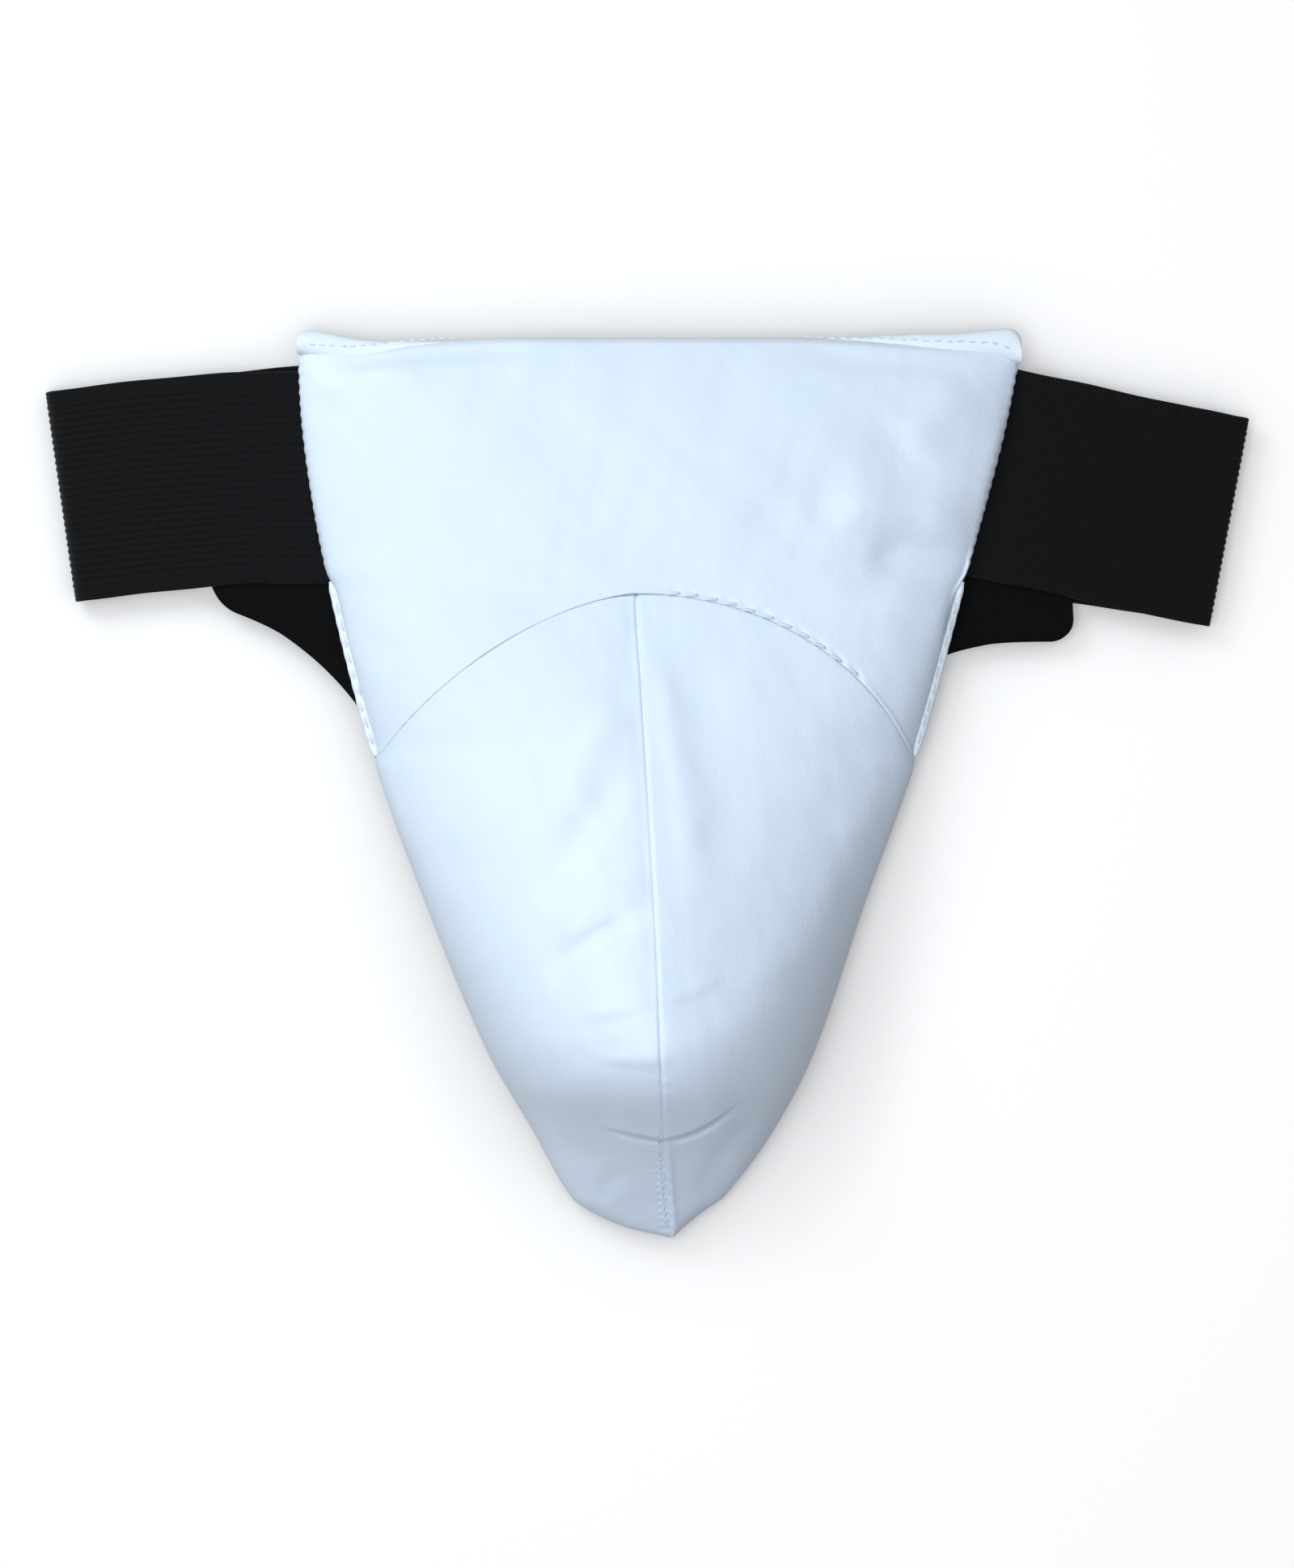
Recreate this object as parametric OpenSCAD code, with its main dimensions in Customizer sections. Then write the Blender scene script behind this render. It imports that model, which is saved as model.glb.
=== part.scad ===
// Groin protector: a padded shell over a hard cup, a folded elastic waistband
// with a hook and loop closure behind, and two leg straps from the crotch tip.
// It lies on its back: +X to its right, +Y to the waist, +Z out of the front.
// Millimetres. The origin is under the middle of the whole object.

/* [Shell] */
// Thickness of the leather-cloth cover
cover_t = 1.3; // [0.8:0.1:2]
// Thickness of the flat back panel under the shell
panel_t = 1.2; // [0.8:0.1:1.3]
// Height of the shell's nose above the back panel
nose_rise = 53.5; // [40:0.5:62]
// Height of the flat upper pad above the back panel
yoke_rise = 10.5; // [8:0.5:14]
// How far up the middle of the arched seam lies
arch_top_y = 54; // [46:1:62]
// How far up the ends of the arched seam lie
arch_end_y = 7.5; // [2:0.5:16]
// Width of the seam facing that shows along each side
facing_w = 2.4; // [1.5:0.1:3]

/* [Cup] */
// Half the width of the hard cup's rim
cup_half_w = 52; // [44:1:56]
// Reach of the cup's rim from its middle towards the waist
cup_up = 58; // [50:1:62]
// Reach of the cup's rim from its middle towards the crotch
cup_down = 70; // [60:1:72]
// Wall of the hard cup
cup_wall = 2.3; // [1.8:0.1:3]
// Depth of cover and foam over the hard cup
cup_cover_depth = 6; // [5:0.5:8]

/* [Waistband] */
// Width of the ribbed elastic
band_w = 61; // [50:1:65]
// Thickness of the ribbed elastic
band_t = 1.3; // [1:0.1:1.4]
// Radius of the long curve of the rear run
rear_r = 1006; // [980:2:1030]
// Slant of the left fold
fold_left_tilt = 8.2; // [7:0.1:9.5]
// Slant of the right fold
fold_right_tilt = 10.75; // [9.5:0.05:12]
// Width of the hook and loop closure along the band
closure_w = 76; // [60:1:80]

/* [Leg straps] */
// Width of each leg strap
strap_w = 40; // [30:1:42]
// Thickness of each leg strap
strap_t = 1.1; // [0.8:0.1:1.1]

/* [Hidden] */

leather_white = "#DCEBF7";
elastic_black = "#17191C";
strap_black = "#111213";
lining_black = "#1D1F22";
foam_grey = "#D9D6CC";
thread_white = "#EEF2F6";
thread_black = "#0E0F11";
cup_plastic = "#E6E8EA";

left = -1;
right = 1;

// Heights of the stacked flat layers, from the ground up
patch_t = 1.2;
hook_t = 0.8;
loop_t = 1.0;
layer_gap = 0.3;
rear_left_z = 0;
hook_z = rear_left_z + band_t;
loop_z = hook_z + hook_t + layer_gap;
rear_right_z = loop_z + loop_t;
panel_high_z = 6.2;
panel_low_z = 2.5;
strap_clear = 0.1;
front_z = panel_high_z;

// Outline of the shell: [y, x] points from the tip up to the waist
left_edge = [
  [-130.5, 6.9], [-127.9, -5.3], [-123.3, -16], [-118.6, -22.1],
  [-100, -32.8], [-76.8, -46.1], [-34.9, -63.5], [7, -78.5],
  [62.8, -92.6], [100, -98.8], [130.5, -100.5]
];
right_edge = [
  [-130.5, 7.5], [-127.9, 10.4], [-123.3, 16], [-118.6, 22.5],
  [-100, 36.3], [-76.8, 48.3], [-34.9, 62.5], [7, 77.4],
  [62.8, 92.6], [100, 102.5], [130.5, 108.5]
];
// Line of the centre seam, which leans a little to the right: [y, x]
centre_line = [[-130.5, 7.2], [-100, 4.9], [-41.9, 2.6], [27.9, -1.4], [54, -3], [130.5, -3]];
// Height of the shell's middle above the back panel: [y, share of the nose or yoke rise]
crown_line = [
  [-130.5, 4], [-118, 13], [-106, 23], [-97, 33], [-85, nose_rise * 0.9],
  [-72, nose_rise], [-55, nose_rise * 0.93], [-20, nose_rise * 0.66],
  [20, nose_rise * 0.37], [54, yoke_rise + 1], [90, yoke_rise],
  [110, yoke_rise - 0.8], [122, yoke_rise - 3], [130.5, 3.6]
];
tip_y = -130.5;
shell_top_y = 127.5;
corner_lift = 3;
// Depth of the turned hem past the cover's edge at the middle of the waist
hem_turn = 0.9;
seam_gap = 0.1;
// Room between a seam facing and the cover beside it
facing_gap = 0.6;

// Middle of the cup, from which every polar ring is drawn
cup_mid = [1, -22];
ring_n = 56;

// Folds of the waistband: the middle of each fold line, and its slant
fold_left = [-165.4, 83.1];
rear_mid = fold_left + rear_r * [sin(fold_left_tilt), -cos(fold_left_tilt)];
fold_right = rear_mid + rear_r * [sin(fold_right_tilt), cos(fold_right_tilt)];
front_mid_z = front_z + band_t / 2;
fold_left_r = (front_mid_z - rear_left_z - band_t / 2) / 2;
fold_right_r = (front_mid_z - rear_right_z - band_t / 2) / 2;
left_front_r = 487;
right_front_r = 2000;
left_front_mid = fold_left + left_front_r * [sin(fold_left_tilt), -cos(fold_left_tilt)];
right_front_mid = fold_right + right_front_r * [sin(fold_right_tilt), cos(fold_right_tilt)];
closure_from_x = 5;
closure_to_x = closure_from_x + closure_w;
tab_past_closure = 4;

// Middle line of each leg strap, from the crotch to the wing
left_strap_route = [
  [0, -108], [-8, -93], [-28, -50], [-46, -5], [-67, 34], [-93, 59], [-122, 72]
];
right_strap_route = [
  [9, -108], [17, -91], [34, -45], [48, 0], [56, 24], [71, 47], [93, 57.5], [122, 61]
];

// ---------- curves ----------

// Share of the way from 0 to 1, with a gentle start and end
function smooth(t) = let (c = min(1, max(0, t))) c * c * (3 - 2 * c);

// Number of the stretch of the point list p that holds x
function stretch(p, x) = min(len(p) - 2, max(0, len([for (q = p) if (q[0] <= x) 1]) - 1));

// Slope of the curve at point i of the list p
function slope(p, i) =
  let (a = max(0, i - 1), b = min(len(p) - 1, i + 1))
  (p[b][1] - p[a][1]) / (p[b][0] - p[a][0]);

// Smooth curve through the points [x, value] of the list p
function curve(p, x) =
  let (
    i = stretch(p, x),
    h = p[i + 1][0] - p[i][0],
    t = min(1, max(0, (x - p[i][0]) / h))
  )
  (1 + 2 * t) * (1 - t) ^ 2 * p[i][1] + t * (1 - t) ^ 2 * h * slope(p, i)
  + t ^ 2 * (3 - 2 * t) * p[i + 1][1] - t ^ 2 * (1 - t) * h * slope(p, i + 1);

// Point at share t of a smooth curve through the 2D points of the list p
function along(p, t) =
  let (
    n = len(p) - 1,
    i = min(n - 1, floor(t * n)),
    s = t * n - i,
    a = p[max(0, i - 1)],
    b = p[i],
    c = p[i + 1],
    d = p[min(n, i + 2)]
  )
  0.5 * (2 * b + (c - a) * s + (2 * a - 5 * b + 4 * c - d) * s ^ 2 + (3 * b - a - 3 * c + d) * s ^ 3);

// ---------- shell ----------

// Height of the back panel's underside: low at the tip, high under the waist
function panel_z(y) = panel_low_z + (panel_high_z - panel_low_z) * smooth((y + 95) / 140);

// Height of the plane on which covers and foam stand
function base_z(y) = panel_z(y) + panel_t + seam_gap;

// Roundness of the cross-section: boxy in the flat yoke, keel-like over the cup
function roundness(y) = 1.8 + 1.1 * smooth(y / 60);

// Where along the sides the seam facing shows, from 0 to 1
function facing_show(y) = smooth((y - 4) / 8) * smooth((62 - y) / 8);

// Half width of the shell on one side of the centre seam
function half_w(side, y) =
  side * (curve(side < 0 ? left_edge : right_edge, y) - curve(centre_line, y));

// Point of the shell's front at share a of the half width, inset below the outside
function shell_point(side, a, y, inset) =
  let (
    w = max(0.2, half_w(side, y) - inset - facing_w * facing_show(y)),
    h = max(0.3, curve(crown_line, y) - inset),
    n = roundness(y),
    bow = (1 - min(1, a) ^ n) ^ (1 / n)
  )
  [curve(centre_line, y) + side * (w * a + seam_gap / 2), y, base_z(y) + h * bow];

// Height of the shell's front over the point x, y, inset below the outside
function shell_z(x, y, inset) =
  let (
    side = x < curve(centre_line, y) ? left : right,
    w = max(0.2, half_w(side, y) - inset - facing_w * facing_show(y)),
    a = min(1, abs(x - curve(centre_line, y)) / w),
    n = roundness(y)
  )
  base_z(y) + max(0.3, curve(crown_line, y) - inset) * (1 - a ^ n) ^ (1 / n);

// Line of the arched seam at share a of the half width
function arch_y(side, a) =
  arch_end_y + (arch_top_y - arch_end_y) * (1 - a ^ (side < 0 ? 1.57 : 2.1));

// Top edge of the front cover, and of the facing behind it
function cover_top_y(a) = shell_top_y - 2 * smooth(a);
function facing_top_y(a) = shell_top_y + hem_turn + (corner_lift - hem_turn) * a ^ 3;

// Shares of the half width, closer together towards the edge
function spread(k, n) = sin(90 * k / n) ^ 0.8;

// Triangles of a grid of rows by cols points that starts at number first
function grid_faces(first, rows, cols) = [
  for (i = [0 : rows - 2], j = [0 : cols - 2])
    let (a = first + i * cols + j, b = a + 1, c = a + cols, d = c + 1)
      each [[a, c, d], [a, d, b]]
];

// Strip of triangles between two lists of point numbers
function strip_faces(p, q) = [
  for (k = [0 : len(p) - 2]) each [[p[k], p[k + 1], q[k + 1]], [p[k], q[k + 1], q[k]]]
];

function reversed(faces) = [for (f = faces) [f[2], f[1], f[0]]];

// Closed solid between two grids of points with the same rows and columns
module sheet_solid(top, under, flip = false) {
  rows = len(top);
  cols = len(top[0]);
  size = rows * cols;
  rim = concat(
    [for (j = [0 : cols - 1]) j],
    [for (i = [1 : rows - 1]) i * cols + cols - 1],
    [for (j = [cols - 2 : -1 : 0]) (rows - 1) * cols + j],
    [for (i = [rows - 2 : -1 : 0]) i * cols]
  );
  faces = concat(
    grid_faces(0, rows, cols),
    reversed(grid_faces(size, rows, cols)),
    strip_faces(rim, [for (r = rim) r + size])
  );
  polyhedron(
    points = concat([for (row = top) each row], [for (row = under) each row]),
    faces = flip ? reversed(faces) : faces,
    convexity = 6
  );
}

// Closed solid from rings of points: out from a top pole, round and back to a lower pole
module ring_solid(rings, top_pole, low_pole) {
  n = len(rings[0]);
  count = len(rings);
  poles = [n * count, n * count + 1];
  walls = [
    for (k = [0 : count - 2], i = [0 : n - 1])
      let (a = k * n + i, b = k * n + (i + 1) % n, c = a + n, d = b + n)
        each [[a, d, c], [a, b, d]]
  ];
  caps = [
    for (i = [0 : n - 1])
      each [[poles[0], (i + 1) % n, i], [poles[1], (count - 1) * n + i, (count - 1) * n + (i + 1) % n]]
  ];
  polyhedron(
    points = concat([for (r = rings) each r], [top_pole, low_pole]),
    faces = concat(walls, caps),
    convexity = 6
  );
}

// Closed ring of constant topology, such as a plate with a hole or a rolled rim
module loop_solid(rings) {
  n = len(rings[0]);
  count = len(rings);
  polyhedron(
    points = [for (r = rings) each r],
    faces = [
      for (k = [0 : count - 1], i = [0 : n - 1])
        let (
          a = k * n + i,
          b = k * n + (i + 1) % n,
          c = ((k + 1) % count) * n + i,
          d = ((k + 1) % count) * n + (i + 1) % n
        )
          each [[a, d, c], [a, b, d]]
    ],
    convexity = 6
  );
}

// Front cover of one cup half, from the arched seam to the tip
module cup_cover(side) {
  rows = 26;
  cols = 13;
  tip_margin = 0.4;
  function grid(inset, end_y) = [
    for (i = [0 : rows])
      [for (j = [0 : cols])
        let (
          a = spread(j, cols),
          from = arch_y(side, a) - seam_gap,
          y = from + (end_y - from) * (i / rows) ^ 0.9
        )
          shell_point(side, a, y, inset)]
  ];
  color(leather_white)
    sheet_solid(grid(0, tip_y + tip_margin), grid(cover_t, tip_y + 2 * cover_t), side > 0);
}

// Front cover of the flat upper pad, right across, from the arched seam to the waist
module front_yoke() {
  rows = 14;
  cols = 14;
  function grid(inset) = [
    for (i = [0 : rows])
      [for (j = [-cols : cols])
        let (
          side = j < 0 ? left : right,
          a = spread(abs(j), cols),
          from = arch_y(side, a) + seam_gap,
          y = from + (cover_top_y(a) - from) * i / rows,
          p = shell_point(side, a, y, inset)
        )
          j == 0 ? [p[0] - seam_gap / 2, p[1], p[2]] : p]
  ];
  color(leather_white) sheet_solid(grid(0), grid(cover_t));
}

module cup_cover_left() { cup_cover(left); }
module cup_cover_right() { cup_cover(right); }

// Turned hem along the waist edge, which shows above the cover at both corners
module top_facing() {
  cols = 14;
  hem_rise = 3;
  function row(y_of, z_up) = [
    for (j = [-cols : cols])
      let (
        side = j < 0 ? left : right,
        a = abs(j) / cols,
        y = y_of == 0 ? cover_top_y(a) + seam_gap : facing_top_y(a)
      )
        [curve(centre_line, y) + side * half_w(side, y) * a, y, base_z(y) + z_up]
  ];
  color(leather_white) sheet_solid([row(0, hem_rise), row(1, hem_rise - 1)], [row(0, 0), row(1, 0)]);
}

// White seam facing along one side of the upper pad, below the waistband
module side_facing(side) {
  rows = 16;
  from_y = 8;
  to_y = 58;
  facing_h = 1.2;
  function row(z_up) = [
    for (i = [0 : rows])
      let (
        y = from_y + (to_y - from_y) * i / rows,
        edge = half_w(side, y),
        inner = edge - (facing_w - facing_gap) * facing_show(y),
        x = curve(centre_line, y)
      )
        [[x + side * inner, y, base_z(y) + z_up], [x + side * edge, y, base_z(y) + z_up]]
  ];
  color(leather_white) sheet_solid(row(facing_h), row(0), side < 0);
}
module side_facing_left() { side_facing(left); }
module side_facing_right() { side_facing(right); }

// Foam slab inside the flat upper pad
module yoke_foam() {
  rows = 10;
  cols = 10;
  under_cover = cover_t + 0.7;
  foam_gap = 1.2;
  function grid(flat) = [
    for (i = [0 : rows])
      [for (j = [-cols : cols])
        let (
          side = j < 0 ? left : right,
          a = 0.985 * spread(abs(j), cols),
          from = arch_y(side, a) + foam_gap,
          y = from + (cover_top_y(a) - cover_t - foam_gap - from) * i / rows,
          p = shell_point(side, a, y, under_cover)
        )
          flat ? [p[0], p[1], base_z(y)] : p]
  ];
  color(foam_grey) sheet_solid(grid(false), grid(true));
}

// ---------- cup ----------

// Distance from the cup's middle to its rim in the direction f
function cup_reach(f) =
  let (
    a = cup_half_w * (1 + 0.22 * sin(f)),
    b = sin(f) > 0 ? cup_up : cup_down,
    m = 2.2
  )
  (abs(cos(f) / a) ^ m + abs(sin(f) / b) ^ m) ^ (-1 / m);

function ring_angle(i) = 360 * i / ring_n;

// Point of a dome over the cup's rim, depth below the shell, grow past the rim
function dome_point(i, k, depth, grow) =
  let (
    f = ring_angle(i),
    r = (cup_reach(f) + grow) * k,
    x = cup_mid[0] + r * cos(f),
    y = cup_mid[1] + r * sin(f),
    z = base_z(y) + max(0.2, shell_z(x, y, 0) - depth - base_z(y)) * (1 - k ^ 5)
  )
  [x, y, z];

function dome_rings(depth, grow, count) = [
  for (k = [1 : count]) [for (i = [0 : ring_n - 1]) dome_point(i, sin(90 * k / count), depth, grow)]
];

// Shell of even wall between two domes
module dome_shell(depth, wall, grow, count) {
  outer = dome_rings(depth, grow, count);
  inner = dome_rings(depth + wall, grow - wall, count);
  mid_z = shell_z(cup_mid[0], cup_mid[1], 0);
  ring_solid(
    concat(outer, [for (k = [count - 1 : -1 : 0]) inner[k]]),
    [cup_mid[0], cup_mid[1], mid_z - depth],
    [cup_mid[0], cup_mid[1], mid_z - depth - wall]
  );
}

module hard_cup() {
  color(cup_plastic) dome_shell(cup_cover_depth, cup_wall, 0, 11);
}

// Cloth lining of the hollow that holds the body
lining_t = 0.9;
lining_gap = 0.3;
module cup_lining() {
  color(lining_black)
    dome_shell(cup_cover_depth + cup_wall + lining_gap, lining_t, -cup_wall - lining_gap, 11);
}

// Distance from the cup's middle to the lower cover's outline in the direction f
function outline_reach(f, r) =
  let (
    x = cup_mid[0] + r * cos(f),
    y = cup_mid[1] + r * sin(f),
    side = x < curve(centre_line, y) ? left : right,
    a = abs(x - curve(centre_line, y)) / max(1, half_w(side, y) - 5)
  )
  (a > 1 || y > arch_y(side, min(1, a)) - 1.2 || y < tip_y + 9) ? r : outline_reach(f, r + 0.5);

// Moulded foam between the covers and the hard cup
module cup_foam() {
  count = 10;
  top_depth = cover_t + 0.9;
  gap = 0.7;
  reach = [for (i = [0 : ring_n - 1]) max(cup_reach(ring_angle(i)) + 3, outline_reach(ring_angle(i), 10))];
  top = [
    for (k = [1 : count])
      [for (i = [0 : ring_n - 1])
        let (
          r = reach[i] * sin(90 * k / count),
          x = cup_mid[0] + r * cos(ring_angle(i)),
          y = cup_mid[1] + r * sin(ring_angle(i))
        )
          [x, y, max(base_z(y) + 0.6, shell_z(x, y, top_depth))]]
  ];
  foot = [for (p = top[count - 1]) [p[0], p[1], base_z(p[1])]];
  inner = dome_rings(cup_cover_depth - gap, gap, count);
  mid_z = shell_z(cup_mid[0], cup_mid[1], 0);
  color(foam_grey)
    ring_solid(
      concat(top, [foot], [for (k = [count - 1 : -1 : 0]) inner[k]]),
      [cup_mid[0], cup_mid[1], mid_z - top_depth],
      [cup_mid[0], cup_mid[1], mid_z - cup_cover_depth + gap]
    );
}

// Soft roll sewn round the mouth of the hollow, below the back panel's edge
module cup_rim_cushion() {
  roll_r = 1.8;
  sides = 8;
  color(lining_black)
    loop_solid([
      for (s = [0 : sides - 1])
        [for (i = [0 : ring_n - 1])
          let (
            f = ring_angle(i),
            r = cup_reach(f) - 9 + roll_r * cos(-360 * s / sides),
            x = cup_mid[0] + r * cos(f),
            y = cup_mid[1] + r * sin(f)
          )
            [x, y, base_z(y) + roll_r + 0.2 + roll_r * sin(-360 * s / sides)]]
    ]);
}

// Distance from the cup's middle to the whole shell's outline in the direction f
function shell_reach(f, r) =
  let (
    x = cup_mid[0] + r * cos(f),
    y = cup_mid[1] + r * sin(f),
    side = x < curve(centre_line, y) ? left : right,
    a = abs(x - curve(centre_line, y)) / max(0.5, half_w(side, y))
  )
  (a > 1 || y > cover_top_y(min(1, a)) || y < tip_y + 0.5) ? r : shell_reach(f, r + 0.5);

// Flat lining behind the shell, with the mouth of the hollow cut through it
module back_panel() {
  count = 7;
  hem = 0.8;
  panel_n = ring_n * 2;
  reach = [for (i = [0 : panel_n - 1]) shell_reach(360 * i / panel_n, 10) - hem];
  mouth = [for (i = [0 : panel_n - 1]) cup_reach(360 * i / panel_n) - 7];
  function ring(t, up) = [
    for (i = [0 : panel_n - 1])
      let (
        f = 360 * i / panel_n,
        r = mouth[i] + (reach[i] - mouth[i]) * t,
        y = cup_mid[1] + r * sin(f)
      )
        [cup_mid[0] + r * cos(f), y, panel_z(y) + up]
  ];
  color(lining_black)
    loop_solid(concat(
      [for (k = [0 : count]) ring(k / count, panel_t)],
      [for (k = [count : -1 : 0]) ring(k / count, 0)]
    ));
}

// ---------- leg straps ----------

// Flat strap swept along its route under the shell and out to the wing
module leg_strap(side, route) {
  steps = 30;
  function section(t) =
    let (
      p = along(route, t),
      ahead = along(route, min(1, t + 0.01)) - along(route, max(0, t - 0.01)),
      out = side * [ahead[1], -ahead[0]] / norm(ahead),
      to_middle = abs(p[0] - curve(centre_line, p[1])) / max(0.5, abs(out[0])) - 0.5,
      corner = 1 - 0.35 * smooth((t - 0.9) / 0.1),
      a = p + out * strap_w / 2 * corner,
      b = p - out * min(strap_w / 2, to_middle)
    )
    [a, b];
  function row(up) = [
    for (k = [0 : steps])
      [for (q = section(k / steps)) [q[0], q[1], panel_z(q[1]) - strap_clear - strap_t * (1 - up)]]
  ];
  color(strap_black) sheet_solid(row(1), row(0), side > 0);
}
module leg_strap_left() { leg_strap(left, left_strap_route); }
module leg_strap_right() { leg_strap(right, right_strap_route); }

// Patch that closes both strap ends in at the crotch, on the outside
module strap_anchor_patch() {
  patch_mid = [4.5, -107];
  corner_r = 5;
  color(strap_black)
    translate([patch_mid[0], patch_mid[1], 0])
      linear_extrude(patch_t)
        hull() {
          for (x = [-16, 16]) translate([x, 9]) circle(corner_r, $fn = 32);
          for (x = [-9, 9]) translate([x, -9]) circle(corner_r, $fn = 32);
        }
}

// ---------- waistband ----------

// Flat curved run of elastic between two directions seen from the curve's middle
module band_arc(mid, r, from_a, to_a, z, w = band_w, t = band_t) {
  translate([mid[0], mid[1], z])
    rotate([0, 0, from_a])
      rotate_extrude(angle = to_a - from_a, $fn = 720)
        translate([r - w / 2, 0])
          square([w, t]);
}

// Half round of elastic that joins a front run and a rear run
module band_fold(mid, tilt, r, z) {
  translate([mid[0], mid[1], z])
    rotate([0, 0, tilt])
      rotate([90, 0, 0])
        translate([0, 0, -band_w / 2])
          rotate([0, 0, 90])
            rotate_extrude(angle = 180, $fn = 96)
              translate([r - band_t / 2, 0])
                square([band_t, band_w]);
}

tongue = 9;
left_end_a = 90 + asin((left_front_mid[0] - fold_left[0] - 70 - tongue) / left_front_r);
right_end_a = 257.2 - 0.2;

module waistband_left_front() {
  color(elastic_black)
    band_arc(left_front_mid, left_front_r, left_end_a, 90 + fold_left_tilt, front_z);
}
module waistband_right_front() {
  color(elastic_black)
    band_arc(right_front_mid, right_front_r, right_end_a, 270 - fold_right_tilt, front_z);
}
module waistband_left_fold() {
  color(elastic_black)
    band_fold(fold_left, fold_left_tilt, fold_left_r, front_mid_z - fold_left_r);
}
module waistband_right_fold() {
  color(elastic_black)
    translate([fold_right[0], fold_right[1], 0])
      rotate([0, 0, 180])
        band_fold([0, 0], -fold_right_tilt, fold_right_r, front_mid_z - fold_right_r);
}

// Direction of the point of the rear run that lies over x
function rear_a(x) = 90 - asin((x - rear_mid[0]) / rear_r);

module waistband_left_rear() {
  color(elastic_black)
    band_arc(rear_mid, rear_r, rear_a(closure_to_x + tab_past_closure), 90 + fold_left_tilt, rear_left_z);
}
module waistband_right_rear() {
  color(elastic_black)
    band_arc(rear_mid, rear_r, 90 - fold_right_tilt, rear_a(closure_from_x - tab_past_closure), rear_right_z);
}
closure_margin = 3;
module hook_patch() {
  color(strap_black)
    band_arc(rear_mid, rear_r, rear_a(closure_to_x), rear_a(closure_from_x), hook_z,
      band_w - 2 * closure_margin, hook_t);
}
module loop_patch() {
  color(lining_black)
    band_arc(rear_mid, rear_r, rear_a(closure_to_x), rear_a(closure_from_x), loop_z,
      band_w - 2 * closure_margin, loop_t);
}

// ---------- stitching ----------

thread_w = 0.7;
thread_h = 0.5;

// One thread stitch laid from point p towards point q
module stitch(p, q, share = 0.68) {
  d = q - p;
  run = norm([d[0], d[1]]);
  translate(p)
    rotate([0, -atan2(d[2], run), atan2(d[1], d[0])])
      translate([0, -thread_w / 2, -thread_h / 2])
        cube([norm(d) * share, thread_w, thread_h]);
}

// A row of stitches through a list of points
module stitch_row(points, share = 0.68) {
  for (k = [0 : len(points) - 2]) stitch(points[k], points[k + 1], share);
}

// Topstitching beside the right half of the arched seam
module arch_stitching() {
  count = 16;
  above = 2;
  color(thread_white)
    stitch_row([
      for (k = [0 : count])
        let (a = 0.3 + 0.5 * k / count, y = arch_y(right, a) + above)
          shell_point(right, a, y, 0)
    ]);
}

// Stitching of the turned hem along the waist edge
module hem_stitching() {
  count = 40;
  hem_rise = 2.7;
  color(thread_white)
    stitch_row([
      for (k = [-count / 2 : count / 2])
        let (
          side = k < 0 ? left : right,
          a = 0.94 * abs(k) / (count / 2),
          y = cover_top_y(a) + 0.9 * smooth(a)
        )
          [curve(centre_line, y) + side * half_w(side, y) * a, y, base_z(y) + hem_rise]
    ]);
}

// Stitching along one side's seam facing
module side_stitching(side) {
  count = 10;
  from_y = 13;
  to_y = 53;
  color(thread_white)
    stitch_row([
      for (k = [0 : count])
        let (y = from_y + (to_y - from_y) * k / count)
          [curve(centre_line, y) + side * (half_w(side, y) - 1.1), y, base_z(y) + 1.2]
    ]);
}
module side_stitching_left() { side_stitching(left); }
module side_stitching_right() { side_stitching(right); }

// Close stitching on the left of the centre seam, from the crease to the tip
module centre_stitching() {
  count = 14;
  color(thread_white)
    stitch_row([
      for (k = [0 : count])
        let (y = -97 - 29 * k / count, w = half_w(left, y))
          shell_point(left, 1.2 / w, y, 0)
    ], 0.6);
}

// Bar tack that fixes a leg strap's end to the wing
module wing_bartack(mid, tilt) {
  tack_w = 24;
  tack_d = 1.6;
  rows_apart = 12;
  color(thread_black)
    for (s = [-1, 1])
      translate([mid[0], mid[1], panel_high_z - strap_clear - strap_t - 0.1])
        rotate([0, 0, tilt])
          translate([s * rows_apart / 2 - tack_d / 2, -tack_w / 2, 0])
            cube([tack_d, tack_w, strap_t + strap_clear + band_t + 0.3]);
}
module wing_bartack_left() { wing_bartack([-114, 73], -fold_left_tilt / 2); }
module wing_bartack_right() { wing_bartack([112, 72], -fold_right_tilt); }

// Stitching along both ends of a closure patch
module closure_stitching(z, h) {
  row_w = band_w - 2 * closure_margin - 4;
  color(thread_black)
    for (x = [closure_from_x + 2, closure_to_x - 2])
      translate([rear_mid[0], rear_mid[1], z])
        rotate([0, 0, rear_a(x)])
          translate([rear_r - row_w / 2, -thread_w / 2, 0])
            cube([row_w, thread_w, h]);
}
module hook_stitching() { closure_stitching(hook_z - 0.4, hook_t + 0.5); }
module loop_stitching() { closure_stitching(loop_z - 0.1, loop_t + 0.5); }

front_yoke();
cup_cover_left();
cup_cover_right();
top_facing();
side_facing_left();
side_facing_right();
yoke_foam();
cup_foam();
hard_cup();
cup_rim_cushion();
cup_lining();
back_panel();
strap_anchor_patch();
leg_strap_left();
leg_strap_right();
waistband_left_front();
waistband_right_front();
waistband_left_fold();
waistband_right_fold();
wing_bartack_left();
wing_bartack_right();
arch_stitching();
hem_stitching();
side_stitching_left();
side_stitching_right();
centre_stitching();
waistband_left_rear();
hook_patch();
hook_stitching();
waistband_right_rear();
loop_patch();
loop_stitching();
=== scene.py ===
# %% [markdown]
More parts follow.
